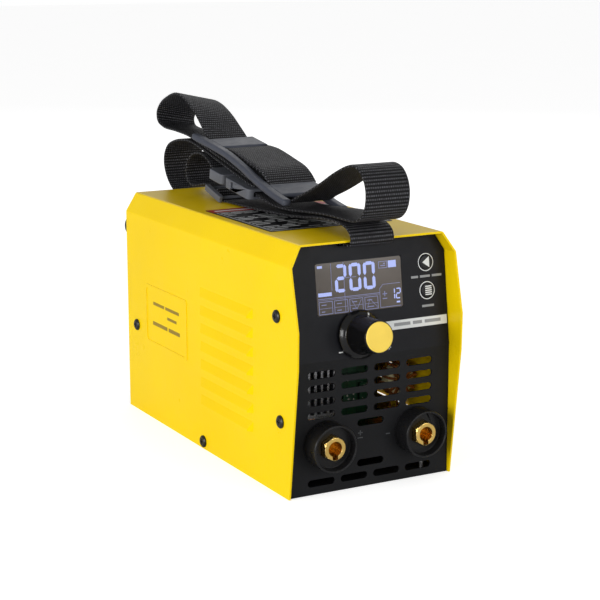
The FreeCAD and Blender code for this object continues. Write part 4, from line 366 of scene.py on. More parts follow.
RIB_MM = 2.2
STITCH_MM = 1.5
LOOKS = {
    "yellow": painted_metal(),
    "panel": surface("panel_powder", (0.0085, 0.0088, 0.0100), 0.50, grain=0.00012, grain_scale=1500,
                     blotch=0.15, wear_and_highlight=((0.045, 0.045, 0.05), 0.0005, 0.5), specular=0.16),
    "overlay": surface("overlay_film", (0.0072, 0.0076, 0.0102), 0.40, grain=0.00002, grain_scale=2600,
                       blotch=0.12, wear_and_highlight=((0.06, 0.06, 0.07), 0.0003, 0.4), specular=0.16),
    "label": surface("label_film", (0.005, 0.005, 0.0055), 0.40, grain=0.00002, grain_scale=1800,
                     specular=0.15),
    "label_red": surface("label_red", (0.36, 0.010, 0.006), 0.4, grain=0.00002, specular=0.2),
    "print_white": surface("print_white", (0.72, 0.74, 0.74), 0.5, grain=0.00002, blotch=0.04),
    "print_brown": surface("print_brown", (0.30, 0.19, 0.0), 0.42, grain=0.00002, blotch=0.12),
    "print_grey": surface("print_grey", (0.26, 0.27, 0.28), 0.5, grain=0.00002, blotch=0.10),
    "print_faint": surface("print_faint", (0.05, 0.054, 0.058), 0.5, grain=0.00002, blotch=0.10),
    "glass": display_glass(),
    "segment": surface("segment_lit", (0.34, 0.40, 0.74), 0.5, blotch=0.04, glow=0.4),
    "segment_dim": surface("segment_dim", (0.19, 0.21, 0.39), 0.5, blotch=0.05, glow=0.2),
    "key": surface("key_plastic", (0.008, 0.0085, 0.010), 0.36, grain=0.00004,
                   wear_and_highlight=((0.08, 0.08, 0.09), 0.0004, 0.5), specular=0.25),
    "knob": surface("knob_plastic", (0.0040, 0.0040, 0.0045), 0.20, grain=0.000008, coat=0.25,
                    wear_and_highlight=((0.09, 0.09, 0.10), 0.0005, 0.3), specular=0.3),
    # The cap's paler edge colour is a painted highlight on its rounded rim.
    "cap": surface("cap_plastic", (0.94, 0.66, 0.075), 0.42, grain=0.00004, grain_scale=1100,
                   wear_and_highlight=((0.95, 0.84, 0.42), 0.0006, 0.5)),
    "socket": surface("socket_plastic", (0.0065, 0.0065, 0.0072), 0.30, grain=0.00004, grain_scale=900,
                      wear_and_highlight=((0.10, 0.10, 0.11), 0.0006, 0.5), specular=0.3),
    "brass": surface("turned_brass", (0.83, 0.56, 0.16), 0.24, metal=1.0, grain=0.00004, grain_scale=500,
                     streaks=(1, 9, 1), blotch=0.12, wear_and_highlight=((1.0, 0.86, 0.50), 0.0005, 0.6)),
    "copper": surface("bar_copper", (0.78, 0.40, 0.20), 0.3, metal=1.0, grain=0.00003, streaks=(1, 8, 1)),
    "zinc": surface("zinc_plate", (0.56, 0.56, 0.55), 0.32, metal=1.0, grain=0.00003, blotch=0.12,
                    wear_and_highlight=((0.85, 0.85, 0.85), 0.0003, 0.5)),
    "black_steel": surface("blackened_steel", (0.014, 0.014, 0.015), 0.34, metal=0.35, grain=0.00004,
                           wear_and_highlight=((0.20, 0.20, 0.20), 0.0003, 0.5)),
    "aluminium": surface("extruded_aluminium", (0.74, 0.75, 0.77), 0.30, metal=1.0, grain=0.00005,
                         grain_scale=600, streaks=(6, 0.6, 6), blotch=0.08),
    "package": surface("moulded_epoxy", (0.018, 0.018, 0.019), 0.6, grain=0.00008),
    "ferrite": surface("ferrite", (0.040, 0.040, 0.043), 0.62, grain=0.00012, blotch=0.2,
                       wear_and_highlight=((0.16, 0.16, 0.16), 0.0005, 0.5)),
    "iron_powder": surface("iron_powder", (0.72, 0.70, 0.42), 0.5, grain=0.00008),
    "enamel": surface("enamelled_wire", (0.48, 0.17, 0.05), 0.22, metal=0.6, grain=0.00004,
                      streaks=(1, 12, 1)),
    "nylon": surface("natural_nylon", (0.78, 0.77, 0.70), 0.45, grain=0.00004),
    "flat_cable": surface("flat_cable", (0.55, 0.11, 0.03), 0.42, grain=0.00025, grain_scale=420,
                          streaks=(2.4, 0.1, 0.1)),
    "fan": surface("fan_plastic", (0.016, 0.016, 0.017), 0.42, grain=0.00006,
                   wear_and_highlight=((0.09, 0.09, 0.09), 0.0004, 0.5)),
    "switch": surface("switch_plastic", (0.012, 0.012, 0.013), 0.36, grain=0.00005,
                      wear_and_highlight=((0.10, 0.10, 0.10), 0.0004, 0.5)),
    "gland": surface("gland_nylon", (0.016, 0.016, 0.018), 0.40, grain=0.00006,
                     wear_and_highlight=((0.10, 0.10, 0.11), 0.0005, 0.5)),
    "rubber": surface("cord_rubber", (0.013, 0.013, 0.014), 0.55, grain=0.00012, grain_scale=500, blotch=0.2),
    # The webbing's second colour is the painted sheen on its raised floats.
    "webbing": woven("webbing_weave", (0.0028, 0.0028, 0.0034), (0.20, 0.20, 0.22), RIB_MM, STITCH_MM),
    "slate": surface("slate_plastic", (0.050, 0.055, 0.073), 0.45, grain=0.00008, grain_scale=1000,
                     blotch=0.12, wear_and_highlight=((0.13, 0.14, 0.17), 0.0009, 0.6), specular=0.25),
    # A paler copy of the slate plastic for the buckles and slider: its extra lightness is painted light,
    # standing in for their lit faces.
    "slate_painted_lighter": surface("slate_light_plastic", (0.100, 0.106, 0.124), 0.42, grain=0.00008, grain_scale=900,
                           blotch=0.12, wear_and_highlight=((0.26, 0.27, 0.31), 0.0008, 0.7), specular=0.3),
    "board": circuit_board(),
    "tape": wound_tape(),
    "capacitor": capacitor_sleeve(),
}

NODE_LOOK = {
    "cover_shell": "yellow", "base_tray": "panel", "base_screws": "zinc", "side_screws": "black_steel",
    "front_panel": "panel", "rear_panel": "panel", "front_overlay": "overlay", "top_label": "label",
    "display_window": "glass", "lcd_module": "switch", "control_board": "board", "board_spacers": "nylon",
    "board_screws": "zinc", "mode_button": "key", "menu_button": "key", "mode_switch": "switch",
    "menu_switch": "switch", "encoder_body": "switch", "encoder_nut": "zinc", "encoder_shaft": "zinc",
    "knob_body": "knob", "knob_cap": "cap", "positive_socket_housing": "socket",
    "negative_socket_housing": "socket", "positive_socket_insert": "brass", "negative_socket_insert": "brass",
    "socket_nuts": "socket", "socket_bolts": "zinc", "busbars": "copper", "power_board": "board",
    "power_transistors": "package", "output_diodes": "package", "transistor_heat_sink": "aluminium",
    "diode_heat_sink": "aluminium", "transformer_core": "ferrite", "transformer_winding": "tape",
    "choke_core": "iron_powder", "choke_winding": "enamel", "bulk_capacitors": "capacitor",
    "rectifier_bridge": "package", "driver_board": "board", "ribbon_cable": "flat_cable", "fan_frame": "fan",
    "fan_rotor": "fan", "fan_guard": "zinc", "fan_screws": "zinc", "power_switch_body": "switch",
    "power_switch_rocker": "key", "cable_gland_body": "gland", "cable_gland_nut": "gland",
    "cable_gland_locknut": "gland", "mains_cord": "rubber", "mains_plug": "rubber", "plug_pins": "brass",
    "strap_webbing": "webbing", "strap_pad": "slate", "buckle_plug": "slate_painted_lighter",
    "buckle_socket": "slate_painted_lighter", "strap_slider": "slate_painted_lighter", "strap_anchor_bars": "zinc",
}


def paint(piece, look):
    """Gives a piece one finish in every slot."""
    if not piece.material_slots:
        piece.data.materials.append(LOOKS[look])
    for slot in piece.material_slots:
        slot.link = "OBJECT"
        slot.material = LOOKS[look]


for node_name, node_look in NODE_LOOK.items():
    paint(NODES[node_name], node_look)


# ---------------------------------------------------------------- pieces

def new_piece(name, mesh, look, body):
    """Adds a mesh to the scene as a piece that rides on a body."""
    piece = bpy.data.objects.new(name, mesh)
    bpy.context.scene.collection.objects.link(piece)
    paint(piece, look)
    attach(piece, body)
    return piece


def refined(node_name, width_mm=0.25, segments=2, sharp=28):
    """Stands in for a hard-edged CAD node with the same shape, its sharp edges rounded over."""
    source = bmesh.new()
    source.from_mesh(NODES[node_name].data)
    bmesh.ops.remove_doubles(source, verts=source.verts, dist=2e-6)
    bmesh.ops.dissolve_limit(
        source, angle_limit=math.radians(0.2), verts=source.verts, edges=source.edges)
    mesh = bpy.data.meshes.new(f"{node_name}_rounded")
    source.to_mesh(mesh)
    source.free()
    for attribute in [item for item in mesh.attributes if item.name == "custom_normal"]:
        mesh.attributes.remove(attribute)
    mesh.materials.clear()
    mesh.shade_smooth()
    mesh.set_sharp_from_angle(angle=math.radians(sharp))
    piece = new_piece(f"{node_name}_finished", mesh, NODE_LOOK[node_name], BODY_OF[node_name])
    bevel = piece.modifiers.new("rounded_edges", "BEVEL")
    bevel.width = width_mm * MM
    bevel.segments = segments
    bevel.limit_method = "ANGLE"
    bevel.angle_limit = math.radians(sharp)
    bevel.use_clamp_overlap = False
    bevel.harden_normals = True
    bevel.miter_outer = "MITER_ARC"
    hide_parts(node_name)
    return piece


ROUNDED = {
    # node: radius of its edges in millimetres
    "knob_body": 0.4,
    "knob_cap": 0.3,
    "positive_socket_housing": 0.25,
    "negative_socket_housing": 0.25,
    "positive_socket_insert": 0.3,
    "negative_socket_insert": 0.3,
    "mode_button": 0.5,
    "menu_button": 0.5,
    "buckle_plug": 0.7,
    "buckle_socket": 0.7,
    "strap_slider": 0.5,
    "side_screws": 0.12,
    "mains_plug": 0.6,
    "cable_gland_nut": 0.35,
    "power_switch_body": 0.3,
    "power_switch_rocker": 0.3,
    "transformer_core": 0.5,
    "rectifier_bridge": 0.4,
    "fan_screws": 0.15,
    "front_panel": 0.2,
    "rear_panel": 0.2,
    "top_label": 0.05,
    "plug_pins": 0.2,
}
for node_name, radius_mm in ROUNDED.items():
    refined(node_name, radius_mm)


# ---------------------------------------------------------------- strap

# Way-points of the webbing's middle line, in millimetres: along the case, height and, where the band's
# far side hangs lower, its fall as a share of the way across.
LONG_WEB = [
    (113, 144), (108, 144), (105.88, 144.88), (105, 147), (105.88, 149.12), (108, 150), (113, 150.1),
    (119, 150.2),
    (126, 151.4), (133.5, 155.2), (140.2, 161.8), (143.3, 169), (142.4, 176.2), (136.3, 183.2),
    (125, 187.4), (112, 189.4), (100.8, 189.6),
    (77, 185.6), (58, 181.6), (39, 177.6), (25, 174.4), (14, 172), (6, 170.4), (2.4, 170.6), (0.9, 172.2),
    (2.4, 173.8), (6, 174.2), (14, 175.3), (25, 177.8), (39, 180.9), (62, 185.8), (82, 190), (100.5, 193.4),
    (123, 194.2, 0.05), (144, 194.4, 0.1), (153, 197.2, 0.15), (154.4, 202, 0.19), (148.6, 208.6, 0.21),
    (136, 214.5, 0.22), (122, 218, 0.22), (110, 216.6, 0.2), (100, 213, 0.17), (90, 207.8, 0.13),
    (82, 202.4, 0.08),
    (73, 196.2, 0.02), (66, 191.6), (58, 189.4), (50, 188.8), (42, 188.6), (34, 188.4), (27, 187.7),
    (6, 183.6), (-8, 180.4), (-16, 176.4), (-24, 170.8), (-32, 167.8), (-40, 165.9),
    (-47, 166.8), (-56, 170.6), (-69, 175.6), (-85, 182.6), (-101.6, 190.8), (-115.7, 196.4),
    (-123.6, 198), (-131.2, 196.2), (-136.8, 191), (-139.4, 183.6), (-138, 174.6), (-133, 168.6),
    (-126, 165.9),
    (-116, 165.3), (-106, 165.3), (-90, 165), (-64, 163), (-41, 161.4), (-24, 161.6), (-12, 163.2),
    (-5, 164.5), (3, 165.6),
]
SHORT_WEB = [
    (-108, 144), (-103, 144), (-100.88, 144.88), (-100, 147), (-100.88, 149.12), (-103, 150), (-108, 150),
    (-113, 150.1), (-118, 150.3),
    (-121, 151.6), (-121.9, 153.9), (-120.4, 157.4),
    (-116, 160.4), (-106, 162.4), (-85, 161.9), (-63, 159.4), (-41, 157.6), (-10, 156.2), (17, 155.4),
    (35, 155),
    (43, 154.9), (48.3, 154.9), (51.9, 157.9), (55.5, 161.1), (60.1, 160.1), (64.8, 159.1), (69.8, 161.4),
    (76, 162.5), (86, 160.6), (94, 159.3), (101, 160.6), (105.2, 165), (105, 170.8), (101, 177.2),
    (93.5, 181.6), (84, 183), (74, 181.4), (67, 177.6), (62, 174.2), (55, 172.1),
]
WEB_LOW, WEB_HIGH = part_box("strap_webbing")
WEB_MIDDLE = (WEB_LOW.x + WEB_HIGH.x) / 2
WEB_WIDTH_MM = (WEB_HIGH.x - WEB_LOW.x) / MM
WEB_THICK_MM = 1.5
RIB_HEIGHT_MM = 0.13
STEP_MM = RIB_MM / 4
SELVEDGE_MM = 0.7


def smooth_path(way_points, step_mm):
    """Evenly spaced samples along a smooth curve: (along, height, fall, distance), in mm."""
    points = [tuple(point) + (0,) * (3 - len(point)) for point in way_points]
    first = tuple(2 * a - b for a, b in zip(points[0], points[1]))
    last = tuple(2 * a - b for a, b in zip(points[-1], points[-2]))
    points = [first] + points + [last]
    fine = []
    for index in range(1, len(points) - 2):
        p0, p1, p2, p3 = points[index - 1:index + 3]
        knots = [0.0]
        for a, b in ((p0, p1), (p1, p2), (p2, p3)):
            knots.append(knots[-1] + math.hypot(a[0] - b[0], a[1] - b[1]) ** 0.5)
        parts = max(4, int(math.hypot(p1[0] - p2[0], p1[1] - p2[1]) / 0.3))
        for part in range(parts):
            spot = knots[1] + (knots[2] - knots[1]) * part / parts
            fine.append(catmull_rom((p0, p1, p2, p3), knots, spot))
    fine.append(points[-2])
    samples = [(*fine[0], 0.0)]
    travelled = 0.0
    wanted = step_mm
    for a, b in zip(fine, fine[1:]):
        stretch = math.hypot(a[0] - b[0], a[1] - b[1])
        while stretch > 0 and travelled + stretch >= wanted:
            share = (wanted - travelled) / stretch
            samples.append((*(p + (q - p) * share for p, q in zip(a, b)), wanted))
            wanted += step_mm
        travelled += stretch
    return samples


def catmull_rom(points, knots, spot):
    """A point on the centripetal curve through four points."""
    rows = list(points)
    for level in range(1, 4):
        made = []
        for index in range(4 - level):
            if level == 3:
                low, high = knots[1], knots[2]
            elif level == 2:
                low, high = knots[index], knots[index + 2]
            else:
                low, high = knots[index], knots[index + 1]
            share = (spot - low) / (high - low)
            made.append(tuple(a + (b - a) * share for a, b in zip(rows[index], rows[index + 1])))
        rows = made
    return rows[0]


def band_frame(samples, index):
    """The point, the direction across and the outward direction at a sample of a band."""
    before = samples[max(0, index - 1)]
    after = samples[min(len(samples) - 1, index + 1)]
    along = Vector((0, after[0] - before[0], after[1] - before[1])).normalized()
    sideways = Vector((1, 0, -samples[index][2]))
    outward = sideways.cross(along).normalized()
    return Vector((0, samples[index][0], samples[index][1])), sideways, outward


def webbing_outline(width):
    """Points round a band's section, in mm: across, through and how much the ribs raise each."""
    half = width / 2
    thick = WEB_THICK_MM / 2
    columns = 16
    flat = width - 2 * SELVEDGE_MM
    top = [(-flat / 2 + flat * column / columns, thick - 0.1, 1.0) for column in range(columns + 1)]
    right = [(half - 0.15, thick * 0.55, 0.4), (half, 0, 0.2), (half - 0.15, -thick * 0.55, 0.4)]
    under = [(x, -y, raised) for x, y, raised in reversed(top)]
    left = [(-x, -y, raised) for x, y, raised in right]
    return top + right + under + left


def webbing(name, way_points, width=WEB_WIDTH_MM, shift=0.0):
    """A length of ribbed webbing with its selvedges, and a UV map in millimetres for the weave."""
    samples = smooth_path(way_points, STEP_MM)
    outline = webbing_outline(width)
    mesh = bpy.data.meshes.new(name)
    data = bmesh.new()
    uv_layer = data.loops.layers.uv.new("band")
    rings = []
    for index, sample in enumerate(samples):
        middle, sideways, outward = band_frame(samples, index)
        rib = RIB_HEIGHT_MM * math.sin(math.pi * sample[3] / RIB_MM) ** 2
        sway = shift + 0.25 * math.sin(sample[3] / 61.0) + 0.12 * math.sin(sample[3] / 17.0)
        ring = []
        for across, through, raised in outline:
            lift = through + rib * raised * (1 if through > 0 else -1)
            spot = middle + sideways * (across + sway) + outward * lift
            ring.append(data.verts.new(Vector((WEB_MIDDLE, 0, 0)) + spot * MM))
        rings.append(ring)
    count = len(outline)
    for index in range(len(rings) - 1):
        for column in range(count):
            following = (column + 1) % count
            face = data.faces.new((
                rings[index][column], rings[index][following],
                rings[index + 1][following], rings[index + 1][column]))
            spots = ((column, index), (following, index), (following, index + 1), (column, index + 1))
            for loop, (spot, row) in zip(face.loops, spots):
                loop[uv_layer].uv = (outline[spot][0], samples[row][3])
    data.faces.new(list(reversed(rings[0])))
    data.faces.new(rings[-1])
    bmesh.ops.recalc_face_normals(data, faces=data.faces)
    data.to_mesh(mesh)
    data.free()
    mesh.shade_smooth()
    return new_piece(name, mesh, "webbing", "welder")


long_web = webbing("webbing_long", LONG_WEB)
short_web = webbing("webbing_short", SHORT_WEB)
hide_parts("strap_webbing")

PAD_LINE = [(-52, 166.6), (-34, 169.8), (-6, 177.2), (6, 181.2), (31, 187.8), (56, 191.8), (83, 195.3)]
PAD_FACE_LINE = [(-21.5, 173.9), (-16, 178), (-8, 182), (6, 185.2), (27, 189.3), (34, 190), (42, 190.3)]
PAD_FACE_MARGIN_MM = 4
PAD_FACE_SHIFT_MM = 1.6
RAIL_WIDE_MM = 5.7
RAIL_THICK_MM = 4.4
RAIL_CLEAR_MM = 0.7
FAR_RAIL_FORWARD_MM = 7
FAR_RAIL_LOWER_MM = 6
PAD_BARS = ((66, 41), (-20, -42))


def rounded_section(width, thick, radius, steps=5):
    """Points round a rectangle with rounded corners, in mm."""
    points = []
    for corner in range(4):
        x = (width / 2 - radius) * (1 if corner in (0, 3) else -1)
        y = (thick / 2 - radius) * (1 if corner in (0, 1) else -1)
        for step in range(steps + 1):
            angle = math.pi / 2 * (corner + step / steps)
            points.append((x + radius * math.cos(angle), y + radius * math.sin(angle)))
    return points


def swept(data, samples, section, shift_mm, lift_mm=0.0, taper_mm=2.5):
    """Adds a solid swept along samples to a bmesh, narrowing over its last few millimetres."""
    total = samples[-1][3] - samples[0][3]
    rings = []
    for index, sample in enumerate(samples):
        middle, sideways, outward = band_frame(samples, index)
        from_end = min(sample[3] - samples[0][3], total - (sample[3] - samples[0][3]))
        narrow = 1.0
        if taper_mm and from_end < taper_mm:
            narrow = 0.45 + 0.55 * math.sqrt(max(0.0, 1 - (1 - from_end / taper_mm) ** 2))
        ring = []
        for across, through in section:
            spot = middle + sideways * (shift_mm + across * narrow) + outward * (lift_mm + through * narrow)
            ring.append(data.verts.new(Vector((WEB_MIDDLE, 0, 0)) + spot * MM))
        rings.append(ring)
    count = len(section)
    for before, after in zip(rings, rings[1:]):
        for column in range(count):
            following = (column + 1) % count
            data.faces.new((before[column], before[following], after[following], after[column]))
    data.faces.new(list(reversed(rings[0])))
    data.faces.new(rings[-1])


def shoulder_pad():
    """The moulded pad: two rounded rails, the far one lower, and a broad curved bar near each end."""
    data = bmesh.new()
    samples = smooth_path(PAD_LINE, 1.5)
    far_samples = [
        (along - FAR_RAIL_FORWARD_MM, height - FAR_RAIL_LOWER_MM, fall, distance)
        for along, height, fall, distance in samples
    ]
    rail_middle = WEB_WIDTH_MM / 2 + RAIL_CLEAR_MM + RAIL_WIDE_MM / 2
    rail = rounded_section(RAIL_WIDE_MM, RAIL_THICK_MM, 1.5)
    swept(data, samples, rail, -rail_middle)
    swept(data, far_samples, rail, rail_middle)
    for high, low in PAD_BARS:
        part = [sample for sample in samples if low <= sample[0] <= high]
        swept(data, part, rounded_section(2 * rail_middle - 3.5, 2.4, 1.0), 0, 1.0, 1.2)
        swept(data, part, rounded_section(3, 5.4, 0.8), rail_middle - 0.9, -2, 1.2)
    mesh = bpy.data.meshes.new("shoulder_pad")
    bmesh.ops.recalc_face_normals(data, faces=data.faces)
    data.to_mesh(mesh)
    data.free()
    mesh.shade_smooth()
    piece = new_piece("shoulder_pad", mesh, "slate", "welder")
    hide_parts("strap_pad")
    return piece


shoulder_pad()
webbing("pad_face", PAD_FACE_LINE, WEB_WIDTH_MM + PAD_FACE_MARGIN_MM, PAD_FACE_SHIFT_MM)


# ---------------------------------------------------------------- printing

INK_MM = 0.04
INK_GAP_MM = 0.01


class Sheet:
    """A flat place to print on: thin raised shapes drawn in millimetres on a plane."""

    def __init__(self, origin, right, up, outward):
        self.origin = Vector(origin)
        self.right = Vector(right)
        self.up = Vector(up)
        self.outward = Vector(outward)
        self.shapes = []

    def shape(self, points):
        """A filled convex outline."""
        self.shapes.append([tuple(point) for point in points])

    def rectangle(self, left, bottom, right, top):
        """A filled rectangle."""
        self.shape([(left, bottom), (right, bottom), (right, top), (left, top)])

    def line(self, start, end, width):
        """A straight stroke."""
        a, b = Vector(start), Vector(end)
        side = (b - a).normalized().orthogonal() * width / 2
        self.shape([a - side, b - side, b + side, a + side])

    def frame(self, left, bottom, right, top, width):
        """The outline of a rectangle."""
        self.rectangle(left, bottom, right, bottom + width)
        self.rectangle(left, top - width, right, top)
        self.rectangle(left, bottom + width, left + width, top - width)
        self.rectangle(right - width, bottom + width, right, top - width)

    def bars(self, spans, low, high):
        """A broken band: one plain bar for each span across."""
        for left, right in spans:
            self.rectangle(left, low, right, high)

    def ring(self, centre, outer, inner, steps=48):
        """A round ring."""
        spots = [math.tau * step / steps for step in range(steps + 1)]
        for a, b in zip(spots, spots[1:]):
            self.shape([
                (centre[0] + radius * math.cos(angle), centre[1] + radius * math.sin(angle))
                for radius, angle in ((inner, a), (outer, a), (outer, b), (inner, b))
            ])

    def digit(self, left, bottom, width, height, stroke, lit):
        """A seven-segment digit: lit names its strokes, a to g."""
        gap = stroke * 0.16
        half = height / 2
        tip = stroke / 2
        right, top, middle = left + width, bottom + height, bottom + half
        flat = {"a": top - tip, "g": middle, "d": bottom + tip}
        inner = right - stroke
        tall = {"f": (left, middle), "b": (inner, middle), "e": (left, bottom), "c": (inner, bottom)}
        for letter in lit:
            if letter in flat:
                y = flat[letter]
                self.shape([
                    (left + tip + gap, y), (left + stroke + gap, y - tip), (right - stroke - gap, y - tip),
                    (right - tip - gap, y), (right - stroke - gap, y + tip), (left + stroke + gap, y + tip)])
            else:
                x, low = tall[letter]
                foot, head = low + stroke * 0.8, low + half - stroke * 0.8
                self.shape([
                    (x + tip, low + gap), (x + stroke, foot), (x + stroke, head),
                    (x + tip, low + half - gap), (x, head), (x, foot)])

    def print(self, name, look, body, slot, rise_mm):
        """Turns the shapes drawn so far into one thin piece, its underside rise_mm above the plane."""
        data = bmesh.new()
        for points in self.shapes:
            low = [data.verts.new(self.spot(x, y, rise_mm)) for x, y in points]
            high = [data.verts.new(self.spot(x, y, rise_mm + INK_MM)) for x, y in points]
            data.faces.new(list(reversed(low)))
            data.faces.new(high)
            for index in range(len(points)):
                following = (index + 1) % len(points)
                data.faces.new((low[index], low[following], high[following], high[index]))
        bmesh.ops.recalc_face_normals(data, faces=data.faces)
        mesh = bpy.data.meshes.new(name)
        data.to_mesh(mesh)
        data.free()
        self.shapes = []
        return new_piece(name, mesh, look, body)

    def spot(self, x, y, out):
        """A point on the sheet in the row frame."""
        return self.origin + (self.right * x + self.up * y + self.outward * out) * MM


DIGITS = {"0": "abcdef", "1": "bc", "2": "abged"}
CASE_HALF_MM = 57.5
SIDE_PLATE_AT_MM = (54.5, 74.3)
OVERLAY_MM = 0.3
KNOB_UP_MM = 13.6
KEYS_RIGHT_MM = 42
MODE_KEY_UP_MM = 52.4
MENU_KEY_UP_MM = 35.1
SCREEN_AT_MM = (-35.5, 26.75)
SCREEN_RISE_MM = 0.21
KNOB_AT = Vector(JOINTS["knob_turn"]["pos_m"])
PANEL_OUT = Vector(JOINTS["knob_turn"]["axis"])
PANEL_UP = Vector((0, PANEL_OUT.z, -PANEL_OUT.y))


def panel_sheet(right_mm=0.0, up_mm=0.0):
    """A sheet on the leaning part of the front panel, measured from the middle of its foot."""
    foot = KNOB_AT - PANEL_UP * KNOB_UP_MM * MM
    foot.x = 0.0
    origin = foot + (PANEL_UP * up_mm + Vector((right_mm, 0, 0))) * MM
    return Sheet(origin, (1, 0, 0), PANEL_UP, PANEL_OUT)


def print_panel():
    """The rings round the keys, the signs beside the knob, the pale stripe, and bars where words would be."""
    sheet = panel_sheet()
    on_film = OVERLAY_MM + INK_GAP_MM
    for key_up in (MODE_KEY_UP_MM, MENU_KEY_UP_MM):
        sheet.ring((KEYS_RIGHT_MM, key_up), 5.5, 5.0)
    sheet.rectangle(-22.6, 3.7, -19.9, 4.4)
    sheet.rectangle(11.2, 3.0, 13.8, 3.7)
    sheet.rectangle(12.15, 2.0, 12.85, 4.7)
    sheet.print("panel_marks", "print_white", "welder", "nylon", on_film)
    sheet.shape([(14.4, 13.4), (55.2, 13.4), (55.2, 19.0), (11.2, 19.0)])
    sheet.print("panel_stripe", "print_white", "welder", "nylon", on_film)
    sheet.bars(((17, 28.6), (30.4, 37), (39, 50.6)), 15.4, 17.4)
    sheet.print("stripe_bars", "print_grey", "welder", "overlay_film", on_film + INK_MM + 0.005)
    sheet.bars(((31, 36), (37.4, 44.6), (46, 53)), 43.2, 44.6)
    sheet.bars(((37.8, 46.4),), 25, 26.4)
    sheet.print("panel_bars", "print_grey", "welder", "nylon", on_film)


def print_side():
    """Bars in the raised frame on the left side of the cover."""
    along, height = SIDE_PLATE_AT_MM
    sheet = Sheet((-CASE_HALF_MM * MM, along * MM, height * MM), (0, -1, 0), (0, 0, 1), (-1, 0, 0))
    sheet.bars(((-21, -3), (-1, 21)), 7.6, 9.8)
    sheet.bars(((2, 17),), 1.2, 3.2)
    sheet.bars(((-22, 2), (4, 22)), -6.6, -4.0)
    sheet.print("side_bars", "print_brown", "welder", "nylon", INK_GAP_MM)


def print_sockets():
    """Faint plus and minus signs between the two sockets."""
    sheet = Sheet((0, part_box("front_panel")[0].y, 0), (1, 0, 0), (0, 0, 1), (0, -1, 0))
    sheet.rectangle(-9.0, 33.95, -5.8, 34.65)
    sheet.rectangle(-7.75, 32.7, -7.05, 35.9)
    sheet.rectangle(10.8, 30.7, 13.8, 31.4)
    sheet.rectangle(-9.4, 30.9, -5.6, 31.5)
    sheet.print("socket_marks", "print_faint", "welder", "nylon", INK_GAP_MM)


def print_readings(screen):
    """The display's large and small numbers and its lit blocks."""
    for index, character in enumerate("200"):
        screen.digit(13.2 + 9.9 * index, 13.0, 8.2, 16.8, 2.1, DIGITS[character])
    for left, character in ((50.9, "1"), (55.0, "2")):
        screen.digit(left, 5.4, 3.6, 6.6, 0.75, DIGITS[character])
    screen.rectangle(1.6, 28.4, 5.0, 29.9)
    screen.rectangle(1.4, 11.6, 10.6, 13.8)
    screen.rectangle(50.6, 24.8, 56.2, 29.0)
    screen.rectangle(55.4, 3.0, 57.8, 4.0)
    screen.print("display_digits", "segment", "welder", "lcd", SCREEN_RISE_MM)


def print_screen_lines(screen):
    """The display's dimmer frames, its row of four boxes and its thin signs."""
    screen.line((10.9, 14.6), (10.9, 30.8), 0.25)
    screen.line((1.0, 10.2), (44.0, 10.2), 0.35)
    screen.line((1.0, 9.4), (44.0, 9.4), 0.2)
    for index in range(4):
        left = 1.4 + 10.5 * index
        screen.frame(left, 0.9, left + 9.4, 8.6, 0.35)
        screen.line((left + 0.4, 4.5), (left + 9.0, 4.5), 0.22)
        screen.line((left + 1.8, 6.6), (left + 5.2, 6.6), 0.5)
        screen.line((left + 1.8, 2.6), (left + 4.0 + 0.8 * index, 2.6), 0.5)
    for start, end in (((24.0, 7.6), (27.4, 2.0)), ((27.4, 2.0), (30.6, 7.6)),
                       ((34.6, 2.0), (36.6, 7.2)), ((36.6, 7.2), (41.6, 2.0))):
        screen.line(start, end, 0.25)
    screen.frame(43.8, 24.8, 50.0, 29.0, 0.35)
    screen.line((45.2, 26.4), (48.6, 26.4), 0.6)
    screen.line((47.2, 27.6), (48.6, 27.6), 0.6)
    for start, end in (((43.8, 1.2), (43.8, 12.6)), ((43.8, 12.6), (46.2, 15.0)),
                       ((46.2, 15.0), (58.4, 15.0)), ((43.8, 1.2), (58.4, 1.2)),
                       ((19.5, 0.8), (19.5, 30.8)), ((19.5, 21.5), (28.0, 21.5))):
        screen.line(start, end, 0.28)
    for start, end in (((45.6, 9.2), (48.8, 9.2)), ((47.2, 7.8), (47.2, 10.8)), ((45.6, 6.4), (48.8, 6.4))):
        screen.line(start, end, 0.5)
    screen.print("display_lines", "segment_dim", "welder", "lcd", SCREEN_RISE_MM)


def print_on_key(node_name, key_up, body, name, draw):
    """Prints an icon on a key's face, so that it travels with the key."""
    face = panel_sheet(KEYS_RIGHT_MM, key_up)
    vertices = NODES[node_name].data.vertices
    rise = max((vertex.co - face.origin).dot(PANEL_OUT) for vertex in vertices) / MM
    draw(face)
    face.print(name, "print_white", body, "nylon", rise + 0.005)


def triangle_icon(face):
    """A triangle that points left."""
    face.shape([(-3.0, 0.1), (1.9, -3.3), (1.9, 3.5)])


def list_icon(face):
    """Five short lines."""
    for step in range(5):
        face.rectangle(-1.9, -2.8 + 1.25 * step, 2.7, -2.1 + 1.25 * step)


SHOULDER_RIM_MM = (13.70, 4.2)
SHOULDER_ROOT_MM = (12.00, 5.4)
GLINT_TURN = math.radians(68)


def paint_knob_glint():
    """A painted reflection: a short white stroke standing in for a glint of light on the knob's sloping
    shoulder, whose rim and root are given as radius and height.
    """
    way = Vector((math.cos(GLINT_TURN), 0, 0)) + PANEL_UP * math.sin(GLINT_TURN)
    rim = way * SHOULDER_RIM_MM[0] + PANEL_OUT * SHOULDER_RIM_MM[1]
    root = way * SHOULDER_ROOT_MM[0] + PANEL_OUT * SHOULDER_ROOT_MM[1]
    slope = (rim - root).normalized()
    crosswise = slope.cross(PANEL_OUT).normalized()
    shoulder = Sheet(KNOB_AT + root * MM, crosswise, slope, crosswise.cross(slope))
    shoulder.rectangle(-0.5, 0.2, 0.5, (rim - root).length - 0.1)
    shoulder.print("knob_glint", "print_white", "knob", "nylon", INK_GAP_MM)


